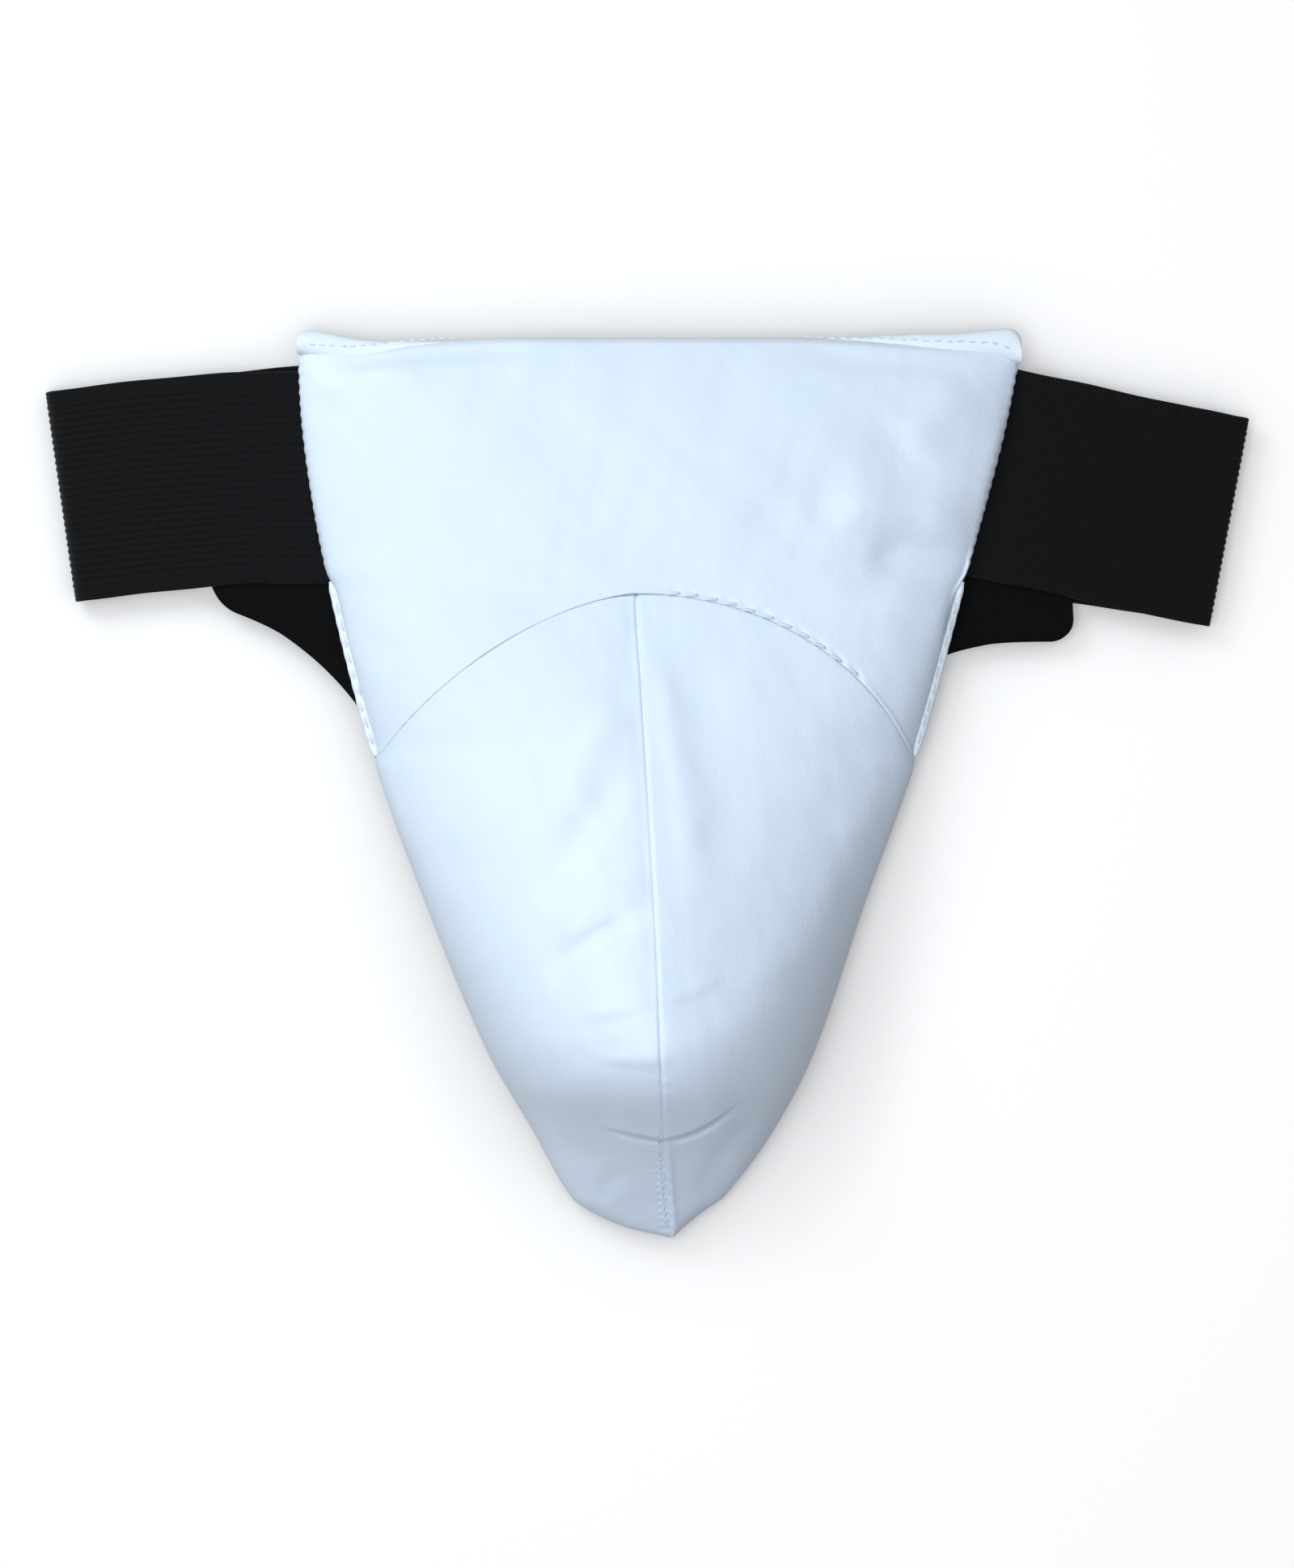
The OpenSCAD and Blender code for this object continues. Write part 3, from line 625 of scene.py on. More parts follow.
# %% [markdown]
# ## Cup covers
# Two gores of coated cloth meet in the centre seam and wrap a moulded cup. Each is a grid whose
# columns run from the seam to the edge and whose rows run from the arched seam to the tip, because
# then every crease has an exact place on top of the simulated swelling. Columns crowd at the
# seam and the edge, and rows crowd near the tip, where the close stitches pucker the cloth.

# %% Relief of the cup covers
STITCH_PITCH = 2.1
STITCH_OFF = 1.7  # from the centre seam to its stitches
STITCH_FROM_Y, STITCH_TO_Y = -97.0, -128.0
CREASES = [  # start, end, bow, depth, width, all in millimetres
    ((-12, -96.5), (6, -100.8), -0.8, -0.7, 0.9), ((4, -100.9), (25, -89.5), -2.4, -0.9, 0.9),
    ((-30, -56), (2, -36), 2.0, -1.7, 3.6), ((-27, -46), (2, -26), 2.0, 1.3, 4.2),
    ((-30, -36), (-3, 4), 3.0, -1.6, 4.6), ((-24, -10), (-5, 26), 1.5, 1.0, 5.5),
    ((-1, 46), (14, -36), 2.6, 1.1, 4.8), ((10, 38), (24, -26), 3.0, -0.6, 6.0),
    ((-3, 50), (-7, 14), -1.0, -0.35, 3.5), ((22, -100), (14, -122), 1.0, -0.8, 3.5),
    ((-6, -108), (-14, -121), -1.0, -0.5, 3.0), ((46, -2), (58, -32), 1.5, -0.5, 4.5),
    ((30, -94), (20, -109), -1.0, -0.9, 3.0),
]
OVERLAPS = [  # start, end, bow, height, rise, reach: cloth that bulges above a crease
    ((-14, -96.0), (9, -100.6), -0.8, 1.7, 1.3, 8.0),
    ((0, -101.0), (27, -88.0), -2.8, 2.7, 1.3, 10.0),
    ((-21, -66.5), (7, -60.0), -1.0, 1.5, 2.6, 6.0),
    ((0, -62.5), (23, -55.0), -0.8, 1.1, 2.4, 5.0),
    ((-16, -77), (9, -78.0), -0.5, 0.9, 2.3, 6.0),
]


def overlap(x, y, start, end, bow, height, rise, reach):
    """A crease that cloth hangs over: a steep rise on its left that dies away over a reach."""
    off, fade = beside_line(x, y, start, end, bow, 0.35)
    return height * fade * smooth(off / rise) * np.exp(-(np.maximum(0, off) / reach) ** 1.6)


FOAM_DEPTH = 1.75


def held_by_foam(lift):
    """Relief that can't sink past the foam: valleys level off gently at its depth."""
    return np.where(lift < 0, -FOAM_DEPTH * np.tanh(-lift / FOAM_DEPTH), lift)


def cover_relief(side, a, y, w, x):
    """Creases and soft swelling, the groove and lip of the centre seam, its puckers, and an edge
    that stands up at the left arch."""
    lift = 0.22 * ripple(x, y, 34, 3) + 0.07 * ripple(x, y, 13, 5)
    for crease in CREASES:
        lift = lift + fold(x, y, *crease)
    for bulge in OVERLAPS:
        lift = lift + overlap(x, y, *bulge)
    # Along the centre seam: a slit, deeper at the top, that turns into a lip near the tip.
    from_seam = w * a
    tip_lip = smooth((-98 - y) / 8)
    slit = -0.5 * (1 + 1.5 * smooth((y + 10) / 40)) * np.exp(-(from_seam / 0.55) ** 2)
    if side > 0:
        lift = lift + slit * (1 - tip_lip)
        lift = lift + 0.75 * tip_lip * np.exp(-((from_seam - 1.2) / 1.0) ** 2)
    else:
        pucker = smooth((STITCH_FROM_Y + 3 - y) / 5)
        wave = np.cos(2 * np.pi * (y - STITCH_FROM_Y) / STITCH_PITCH)
        lift = lift + slit * (1 - 0.4 * tip_lip)
        lift = lift - 0.35 * np.exp(-((from_seam - 1.6) / 2.2) ** 2) * smooth((y + 90) / 60)
        lift = lift + 0.17 * pucker * wave * np.exp(-((from_seam - STITCH_OFF) / 1.7) ** 2)
    drawn = 0.1 * np.cos(2 * np.pi * y / 3.7 + side) * np.exp(-(from_seam / 1.6) ** 2)
    under_arch = (arch_y(side, a) - y)
    if side < 0:
        lift = lift + 0.36 * smooth((a - 0.03) / 0.1) * np.exp(-((under_arch - 0.8) / 0.75) ** 2)
    lift = lift + drawn - 0.16 * np.exp(-(under_arch / 0.7) ** 2)
    return lift

# %% Cup cover pieces
GORE_T = 1.2
SEAM_GAP = 0.02  # left between cloths that meet at the arch
SPLIT_Y, LOW_Y = -80.0, TIP_Y + 0.35  # rows are evenly spaced between these


def gore_grid(side):
    """Grid of one gore: share of the half width along a cosine, rows denser below the crease."""
    cols, upper, lower = 104, 112, 122
    a = ((1 - np.cos(np.pi * np.linspace(0, 1, cols))) / 2)[None, :]
    t = np.linspace(0, 1, upper)[:, None]
    t = 0.35 * (1 - np.cos(np.pi * t / 2)) + 0.65 * t
    top = arch_y(side, a) - SEAM_GAP
    y = np.concatenate([top + (SPLIT_Y - top) * t / t[-1],
                        SPLIT_Y + (LOW_Y - SPLIT_Y) * np.linspace(0, 1, lower)[1:, None] + 0 * a])
    a = a + 0 * y
    p = shell_point(side, a, y)
    coarse_a, coarse_t = np.linspace(0, 1, 30)[None, :], np.linspace(0, 1, 58)[:, None]
    coarse_top = arch_y(side, coarse_a)
    sheet = shell_point(side, coarse_a, coarse_top + (LOW_Y - coarse_top) * coarse_t)
    mid = y[:, cols // 2]
    move = swelling(sheet, COVER_SHARE, (mid[0] - mid) / (mid[0] - mid[-1]), a[0])
    w = half_width(side, y)
    edge_fade = smooth((1 - a) / 0.03)
    lift = cover_relief(side, a, y, w, p[..., 0]) * edge_fade
    p[..., 2] += held_by_foam(lift + move[..., 2])
    p[..., :2] += move[..., :2]
    return p


for side, side_name in ((LEFT, "left"), (RIGHT, "right")):
    p = gore_grid(side)
    faces = grid_faces(*p.shape[:2])
    gore = make_piece(f"cup_cover_{side_name}_cloth", p, faces if side < 0 else faces[:, ::-1],
                      leather, "root", [f"cup_cover_{side_name}"])
    thicken(gore, GORE_T)
    print(gore.name, len(faces), "faces")

# %% [markdown]
# ## Upper pad
# The yoke is one panel of the same cloth over a flat foam slab. Its lower edge is turned under
# along the arch, so it stands a little proud of the gores, and its waist edge dips at both corners
# behind a turned hem. Pull from the side seams leaves shallow folds, each one line in a list.

# %% Relief of the yoke
YOKE_FOLDS = [  # start, end, bow, depth, width, all in millimetres
    ((-97, 120), (-28, 124.5), 1.2, -1.7, 3.0), ((-99, 112), (-60, 116.5), 1.0, 0.7, 4.5),
    ((34, 124), (100, 118.5), -0.8, -0.9, 3.2), ((92, 116), (70, 96), 1.5, 0.9, 7.0),
    ((60, 65), (102, 57), 1.5, -2.6, 6.0), ((48, 80), (94, 73), 2.0, 1.9, 7.5),
    ((60, 52), (92, 44), 1.0, 0.8, 4.0), ((-90, 50), (-66, 34), -1.0, -0.5, 5.0),
    ((-30, 100), (20, 112), 4.0, 0.35, 9.0), ((64, 108), (80, 62), 2.0, -0.9, 8.0),
    ((-62, 92), (-84, 62), 2.0, -0.35, 7.0), ((30, 84), (46, 60), 1.0, -0.4, 7.0),
]
ARCH_PITCH = 5.2
YOKE_T = 1.2


def cover_edge_y(side, a):
    """Top edge of the upper pad: it rolls over the waist edge and dips before both corners."""
    left = 127.6 - 2.4 * np.exp(-((a - 0.85) / 0.17) ** 2) - 1.5 * smooth((a - 0.3) / 0.6)
    right = 127.6 - 2.6 * smooth((a - 0.38) / 0.5) - 2.6 * smooth((a - 0.9) / 0.1)
    return np.where(side < 0, left, right)


def yoke_relief(side, a, y, x):
    """Crowned swelling, folds, a fine lip above the arched seam and the pull of its stitches."""
    lift = 0.25 * ripple(x, y, 46, 11) + 0.08 * ripple(x, y, 17, 4)
    for one in YOKE_FOLDS:
        lift = lift + fold(x, y, *one)
    above = y - arch_y(side, a)
    lift = lift + 0.8 * (1 - a ** 1.8) * smooth(above / 25) * smooth((127 - y) / 18)
    # Stitches show on the right of the arch, where they pull the lip down between them.
    stitched = smooth((a * side - 0.08) / 0.05) * smooth((0.8 - a * side) / 0.05)
    left = smooth((-a * side - 0.02) / 0.1)
    lip = (0.38 - 0.2 * stitched - 0.34 * left) * np.exp(-((above - 0.7) / 0.9) ** 2)
    sewn = np.cos(2 * np.pi * x / ARCH_PITCH)
    pull = (0.3 * sewn - 0.35) * stitched * np.exp(-((above - 0.8) / 1.2) ** 2)
    slit = (-0.12 + 0.06 * left) * np.exp(-(above / 0.45) ** 2)
    return lift + lip + pull + slit

# %% Yoke
def yoke_grid():
    """Grid right across the pad: share of the half width along a sine, rows from arch to waist."""
    cols, rows = 262, 136
    u = np.sin(np.linspace(-np.pi / 2, np.pi / 2, cols))[None, :]
    side, a = np.where(u < 0, LEFT, RIGHT), np.abs(u)
    t = np.linspace(0, 1, rows)[:, None]
    t = 0.55 * (1 - np.cos(np.pi * t)) / 2 + 0.45 * t
    low = arch_y(side, a) + SEAM_GAP
    y = low + (cover_edge_y(side, a) - low) * t
    coarse_u, coarse_t = np.linspace(-1, 1, 81)[None, :], np.linspace(0, 1, 42)[:, None]
    coarse_side, coarse_a = np.where(coarse_u < 0, LEFT, RIGHT), np.abs(coarse_u)
    coarse_low = arch_y(coarse_side, coarse_a)
    coarse_y = coarse_low + (cover_edge_y(coarse_side, coarse_a) - coarse_low) * coarse_t
    sheet = shell_point(coarse_side, coarse_a + 0 * coarse_y, coarse_y)
    move = swelling(sheet, YOKE_SHARE, t[:, 0], (u[0] + 1) / 2)
    a, side = a + 0 * y, side + 0 * y
    p = shell_point(side, a, y)
    lift = yoke_relief(side, a, y, p[..., 0]) * smooth((1 - a) / 0.02)
    p[..., 2] += held_by_foam(lift + move[..., 2])
    p[..., :2] += move[..., :2]
    sewn_edge = smooth((a - 0.95) / 0.05) * smooth((y - 58) / 6)
    p[..., 0] += side * sewn_edge * 0.16 * np.cos(2 * np.pi * y / 3.3 + 0.8 * np.sin(y / 6))
    rolled_top = 1.6 * np.exp(-((cover_edge_y(side, a) - y) / 0.9) ** 2)
    p[..., 2] -= rolled_top
    return p


p = yoke_grid()
yoke = make_piece("front_yoke_cloth", p, grid_faces(*p.shape[:2]), leather, "root",
                  ["front_yoke"])
thicken(yoke, YOKE_T)
print(yoke.name, p.shape)

# %% [markdown]
# ## Turned hem and side facings
# Where a cut edge would fray, the cloth is turned or faced with a narrow strip. The hem is a roll
# that shows above the cover's corners. The facings are narrow rolls beyond the side seams.

# %% Rolls and strips along a line
def roll_along(name, middle, half_y, half_z, material, cad, sides=20, across=None):
    """A closed tube along a line of points: an ellipse of half_y by half_z carried along it."""
    f = np.linspace(0, 2 * np.pi, sides, endpoint=False)
    out = np.array([[0.0, 1.0, 0.0]]) if across is None else across
    ring = middle[:, None, :] + half_y[:, None, None] * np.cos(f)[None, :, None] * out[:, None, :]
    ring[..., 2] += half_z[:, None] * np.sin(f)[None, :]
    count = len(middle)
    points = np.concatenate([ring.reshape(-1, 3), middle[:1], middle[-1:]])
    faces = grid_faces(count, sides, wrap_cols=True).tolist()
    k = np.arange(sides)
    ahead, last = np.roll(k, -1), (count - 1) * sides
    faces += fan(count * sides, ahead, k) + fan(count * sides + 1, last + k, last + ahead)
    piece = make_piece(name, points, faces, material, "root", cad)
    outward(piece)
    return piece


def hem_top_y(side, a):
    """Top of the turned hem: under the cover in the middle, and proud of it at both corners."""
    left = 126.9 + 2.8 * smooth((a - 0.74) / 0.24)
    right = 127.2 + 1.9 * smooth((a - 0.35) / 0.45) + 1.5 * smooth((a - 0.8) / 0.17)
    return np.where(side < 0, left, right)


def hem_half_z(a):
    """Half the hem's thickness, which grows as the cube of the share towards the corners."""
    return 1.5 + 1.3 * a ** 3


def hem_middle_z(a, y):
    """Height of the hem's middle, a little higher at the corners."""
    return base_z(y) + 1.5 + 0.8 * a ** 3

# %% Turned hem
HEM_CORNER_R = 4.0
HEM_DEPTH = 2.6  # from the cover's edge to the hem's lower side
u = np.sin(np.linspace(-np.pi / 2, np.pi / 2, 260))
side, a = np.where(u < 0, LEFT, RIGHT), np.abs(u)
top = hem_top_y(side, a)
low = cover_edge_y(side, a) - HEM_DEPTH + 0.8 * smooth((a - 0.9) / 0.1)
from_end = (1 - a) * half_width(side, top)
gone_round = np.maximum(0, HEM_CORNER_R - from_end)
drop = HEM_CORNER_R - np.sqrt(HEM_CORNER_R ** 2 - gone_round ** 2)
top = top - drop * np.where(side < 0, 0.4, 1)
mid_y = (top + low) / 2
x = curve(CENTRE_LINE, mid_y) + side * (half_width(side, mid_y) - 0.1) * a
wobble = 0.25 * ripple(x, 0 * x, 21, 8)
middle = np.stack([x, mid_y + wobble * a, hem_middle_z(a, mid_y)], -1)
hem = roll_along("top_hem_cloth", middle, (top - low) / 2, hem_half_z(a) + 0.15 * wobble,
                 leather_edge_painted_highlight, ["top_facing"])
print(hem.name, len(hem.data.vertices), "points")

# %% Side facings
SIDE_PITCH = 4.6
for side, side_name in ((LEFT, "left"), (RIGHT, "right")):
    y = np.linspace(8.0, 58.0, 160)
    x = curve(CENTRE_LINE, y) + side * (half_width(side, y) - FACING_W * 0.5 - 0.1)
    tack = 0.2 * np.cos(2 * np.pi * y / SIDE_PITCH)
    middle = np.stack([x, y, base_z(y) + 1.0], -1)
    across = np.array([[side, 0.0, 0.0]])
    roll = roll_along(f"side_facing_{side_name}_cloth", middle,
                      0.85 * facing_show(y) + 0.35 + tack * 0.35, 0.75 + tack, leather_edge_painted_highlight,
                      [f"side_facing_{side_name}"], 16, across)
    print(roll.name, len(roll.data.vertices), "points")

# %% [markdown]
# ## Back: panel, hollow and soft roll
# Behind, the shell is closed by a flat knitted panel with the mouth of the hollow in it. A domed
# lining follows the inside of the cup, and a soft roll is sewn round the mouth. Polar grids suit
# all three, since everything runs round the middle of the cup.

# %% Polar shapes
CUP_MID = (1.0, -22.0)
CUP_HALF_W, CUP_UP, CUP_DOWN = 52.0, 58.0, 70.0
LINING_DEPTH = 8.6


def cup_reach(f):
    """Rim of the cup as a superellipse in polar form, wider towards the waist."""
    a = CUP_HALF_W * (1 + 0.22 * np.sin(f))
    b = np.where(np.sin(f) > 0, CUP_UP, CUP_DOWN)
    return (np.abs(np.cos(f) / a) ** 2.2 + np.abs(np.sin(f) / b) ** 2.2) ** (-1 / 2.2)


def shell_height(x, y):
    """Height of the shell's front over a point, by the same superellipse bow."""
    side = np.where(x < curve(CENTRE_LINE, y), LEFT, RIGHT)
    return shell_front(np.abs(x - curve(CENTRE_LINE, y)) / cover_width(side, y), y)


def shell_reach(f):
    """Outline of the whole shell in polar form, found by halving the step 40 times."""
    low, high = np.full_like(f, 20.0), np.full_like(f, 190.0)
    for _ in range(40):
        r = (low + high) / 2
        x, y = CUP_MID[0] + r * np.cos(f), CUP_MID[1] + r * np.sin(f)
        side = np.where(x < curve(CENTRE_LINE, y), LEFT, RIGHT)
        a = np.abs(x - curve(CENTRE_LINE, y)) / np.maximum(0.5, half_width(side, y))
        out = (a > 1) | (y > cover_top_y(np.minimum(1, a))) | (y < TIP_Y + 0.5)
        high, low = np.where(out, r, high), np.where(out, low, r)
    return low


def polar_piece(name, rings, material, cad, close):
    """A closed surface from rings round the cup's middle; close joins the last to the first."""
    count, n = rings.shape[:2]
    faces = grid_faces(count, n, wrap_rows=close, wrap_cols=True).tolist()
    points = rings.reshape(-1, 3)
    if not close:
        poles = np.stack([rings[0].mean(0), rings[-1].mean(0)])
        points = np.concatenate([points, poles])
        k, last = np.arange(n), (count - 1) * n
        ahead = np.roll(k, -1)
        faces += fan(count * n, ahead, k) + fan(count * n + 1, last + k, last + ahead)
    piece = make_piece(name, points, faces, material, "root", cad)
    outward(piece)
    return piece

# %% Back panel
def rings_area(grid):
    """Area of a grid of closed rings in square metres: half the cross of each cell's diagonals."""
    turned = np.roll(grid, -1, 1)
    return np.linalg.norm(np.cross(turned[1:] - grid[:-1], grid[1:] - turned[:-1]),
                          axis=-1).sum() / 2 * MM ** 2


MOUTH_IN, PANEL_IN = 7.0, 0.8  # the panel's rims lie inside the cup's rim and the outline
ring_f = np.linspace(0, 2 * np.pi, 288, endpoint=False)
mouth = cup_reach(ring_f) - MOUTH_IN
outline = shell_reach(ring_f) - PANEL_IN
share = np.linspace(0, 1, 34)[:, None]
reach = mouth + (outline - mouth) * share
y = CUP_MID[1] + reach * np.sin(ring_f)
x = CUP_MID[0] + reach * np.cos(ring_f)
seam_dent = 0.3 * np.exp(-((share - 0.93) / 0.02) ** 2)
upper = np.stack([x, y, panel_z(y) + PANEL_T], -1)
under = np.stack([x, y, panel_z(y) + seam_dent], -1)
panel = polar_piece("back_panel_knit", np.concatenate([upper, under[::-1]]), lining,
                    ["back_panel"], True)
print(panel.name, "area", round(rings_area(upper), 4), "square metres")

# %% Lining of the hollow
LINING_T = 0.9
k = np.sin(np.linspace(0.02, np.pi / 2, 40))[:, None]
domes = []
for depth, shrink in ((LINING_DEPTH, 2.6), (LINING_DEPTH + LINING_T, 2.6 + LINING_T)):
    r = (cup_reach(ring_f) - shrink) * k
    x, y = CUP_MID[0] + r * np.cos(ring_f), CUP_MID[1] + r * np.sin(ring_f)
    z = base_z(y) + np.maximum(0.2, shell_height(x, y) - depth - base_z(y)) * (1 - k ** 5)
    domes.append(np.stack([x, y, z], -1))
cup_lining = polar_piece("cup_lining_knit", np.concatenate([domes[0], domes[1][::-1]]), lining,
                         ["cup_lining"], False)

# %% Roll round the mouth
ROLL_IN, ROLL_R = 9.0, 1.8
s = np.linspace(0, 2 * np.pi, 20, endpoint=False)[:, None]
r = cup_reach(ring_f) - ROLL_IN + ROLL_R * np.cos(-s)
x, y = CUP_MID[0] + r * np.cos(ring_f), CUP_MID[1] + r * np.sin(ring_f)
gather = 0.06 * np.cos(90 * ring_f)
roll = np.stack([x, y, base_z(y) + 2.0 + ROLL_R * np.sin(-s) + gather], -1)
rim_roll = polar_piece("cup_rim_roll", roll, lining, ["cup_rim_cushion"], True)
print(rim_roll.name, roll.shape)

# %% [markdown]
# ## Leg straps and anchor patch
# Each strap is a flat elastic that starts under the tip, passes behind the pad and ends on a wing.
# It is a ribbon swept along a smooth route, its inner edge cut along the middle line.

# %% Ribbons
def along_route(route, t):
    """Smooth line through route points, with equal shares of t for each stretch."""
    p = np.array(route, float)
    p = np.concatenate([p[:1], p, p[-1:]])
    s = np.clip(t, 0, 1) * (len(route) - 1)
    i = np.minimum(s.astype(int), len(route) - 2)
    u = (s - i)[:, None]
    a, b, c, d = p[i], p[i + 1], p[i + 2], p[i + 3]
    return 0.5 * (2 * b + (c - a) * u + (2 * a - 5 * b + 4 * c - d) * u ** 2
                  + (3 * b - a - 3 * c + d) * u ** 3)


def length_along(points):
    """Length gone from the first of a line of points to each of them."""
    return np.concatenate([[0], np.cumsum(np.linalg.norm(np.diff(points, axis=0), axis=1))])


def slab(name, upper, lower, along_mm, across_mm, material, cad, body="root"):
    """A closed flat piece from its upper and lower grids, with a cloth map along and across."""
    rows, cols = upper.shape[:2]
    ring = np.concatenate([upper, lower[:, ::-1]], 1)
    faces = grid_faces(rows, 2 * cols, wrap_cols=True)
    j = np.arange(cols - 1)
    caps = []
    for start, flip in ((0, 1), ((rows - 1) * 2 * cols, -1)):
        cap = np.stack([start + j, start + j + 1, start + 2 * cols - 2 - j,
                        start + 2 * cols - 1 - j], -1)
        caps.append(cap[:, ::flip])
    uv = np.stack(np.broadcast_arrays(along_mm, across_mm), -1)
    uv = np.concatenate([uv, uv[:, ::-1]], 1)
    piece = make_piece(name, ring, np.concatenate([faces, *caps]), material, body, cad, uv)
    outward(piece)
    return piece

# %% Leg straps
STRAP_W, STRAP_T, STRAP_CLEAR = 40.0, 1.1, 0.1
STRAPS = [  # name, side, radius of the end's corner, route in millimetres
    ("leg_strap_left", LEFT, 12.0, [[0, -108], [-8, -93], [-28, -50], [-46, -5], [-67, 34],
                                    [-93, 59], [-122, 72]]),
    ("leg_strap_right", RIGHT, 6.0, [[9, -108], [17, -91], [34, -45], [48, 0], [56, 24],
                                     [70, 50], [93, 59.5], [122, 61]]),
]
for name, side, corner_r, route in STRAPS:
    t = 1 - (1 - np.linspace(0, 1, 150)) ** 1.25
    p = along_route(route, t)
    step = np.gradient(p, axis=0)
    step /= np.linalg.norm(step, axis=1)[:, None]
    out = side * np.stack([step[:, 1], -step[:, 0]], -1)
    gone = length_along(p)
    left_over = gone[-1] - gone
    cut = corner_r - np.sqrt(corner_r ** 2 - np.maximum(0, corner_r - left_over) ** 2)
    # The inner half stops at the middle line. The outer half stays 3 mm inside the shell's edge
    # from the tip up to where the strap comes out, at y = 10.
    from_middle = np.abs(p[:, 0] - curve(CENTRE_LINE, p[:, 1]))
    to_middle = from_middle / np.maximum(0.5, np.abs(out[:, 0]))
    inside = (half_width(side, p[:, 1] - 9) - from_middle) / np.abs(out[:, 0])
    hidden = smooth((10 - p[:, 1]) / 20)
    far = STRAP_W / 2 - cut
    far = far + (np.minimum(far, np.maximum(3, inside - 3)) - far) * hidden
    near = np.minimum(STRAP_W / 2, to_middle - 0.5)
    v = np.sin(np.linspace(-np.pi / 2, np.pi / 2, 44))
    off = np.where(v > 0, v * far[:, None], v * near[:, None])
    xy = p[:, None, :] + out[:, None, :] * off[..., None]
    mid_z = panel_z(xy[..., 1]) - STRAP_CLEAR - STRAP_T / 2
    half = STRAP_T / 2 * np.sqrt(1 - 0.8 * v ** 40)[None, :]
    upper = np.concatenate([xy, (mid_z + half)[..., None]], -1)
    lower = np.concatenate([xy, (mid_z - half)[..., None]], -1)
    strap = slab(name + "_elastic", upper, lower, gone[:, None], off, strap_cloth, [name])

# %% Anchor patch
ANCHOR_MID, ANCHOR_HALF_W, ANCHOR_HALF_L = (4.5, -107), 21.5, 14.0
f = np.linspace(0, 2 * np.pi, 96, endpoint=False)
px = ANCHOR_HALF_W * np.sign(np.cos(f)) * np.abs(np.cos(f)) ** 0.5 * (1 + 0.18 * np.sin(f)) / 1.18
py = ANCHOR_HALF_L * np.sign(np.sin(f)) * np.abs(np.sin(f)) ** 0.5
patch_rings = []
for grow, z in ((0.02, 0.05), (0.97, 0.05), (1.0, 0.35), (1.0, 0.9), (0.97, 1.2), (0.86, 1.2),
                (0.84, 1.05), (0.82, 1.2), (0.02, 1.2)):
    patch_rings.append(np.stack([ANCHOR_MID[0] + grow * px, ANCHOR_MID[1] + grow * py,
                                 np.full(len(f), z)], -1))
patch = polar_piece("strap_anchor_patch_cloth", np.array(patch_rings), strap_cloth,
            ["strap_anchor_patch"], False)
print(patch.name, len(patch_rings), "rings")

# %% [markdown]
# ## Waistband
# Each half of the waistband is one length of ribbed elastic: a front run, a half-round fold and a
# rear run. It is one mesh across the fold. The ribs are real relief, two millimetres apart,
# between two smooth selvedges.

# %% Waistband route
BAND_W, BAND_T, RIB = 61.0, 1.3, 2.0
FRONT_Z = 6.2
REAR_MID, REAR_R = np.array([-21.915, -912.615]), 1006.0
CLOSE_FROM, CLOSE_TO, TAB = 5.0, 81.0, 4.0  # the patches' ends, and the band beyond them


def rear_angle(x):
    """Direction, from the rear arc's middle, of the point over x, in degrees."""
    return 90 - math.degrees(math.asin((x - REAR_MID[0]) / REAR_R))


def direction(angles):
    """Unit vectors for angles in degrees."""
    return np.stack([np.cos(np.radians(angles)), np.sin(np.radians(angles))], -1)


def band_route(front_mid, front_r, front_sign, end_a, fold_a, fold_r, rear_end_a):
    """Middle line of a front arc, half-round fold and rear arc: points, the two directions across
    the band, and how many points the front has. The rear arc bends about its own middle."""
    n_front, n_fold, n_rear = 46, 24, 66
    front_a = np.linspace(end_a, fold_a, n_front)
    turn = np.linspace(0, np.pi, n_fold + 2)[1:-1]
    rear_fold_a = fold_a if front_sign > 0 else fold_a - 180
    rear_a = np.linspace(rear_fold_a, rear_end_a, n_rear)
    up = np.concatenate([front_sign * direction(front_a),
                         np.repeat(direction(np.array([rear_fold_a])), n_fold, 0),
                         direction(rear_a)])
    front_z = FRONT_Z + BAND_T / 2
    rear_z = front_z - 2 * fold_r
    front_xy = front_mid + front_r * direction(front_a)
    rear_xy = REAR_MID + REAR_R * direction(rear_a)
    away = np.sign(front_xy[-1, 0] - front_xy[0, 0]) * up[n_front - 1, ::-1] * [1, -1]
    fold_xy = front_xy[-1] + fold_r * np.sin(turn)[:, None] * away
    z = np.concatenate([np.full(n_front, front_z), front_z - fold_r * (1 - np.cos(turn)),
                        np.full(n_rear, rear_z)])
    centre = np.concatenate([np.concatenate([front_xy, fold_xy, rear_xy]), z[:, None]], 1)
    normal = np.zeros_like(centre)
    normal[:n_front, 2] = 1
    normal[n_front:-n_rear, :2] = np.sin(turn)[:, None] * away
    normal[n_front:-n_rear, 2] = np.cos(turn)
    normal[-n_rear:, 2] = -1
    return centre, up, normal, n_front

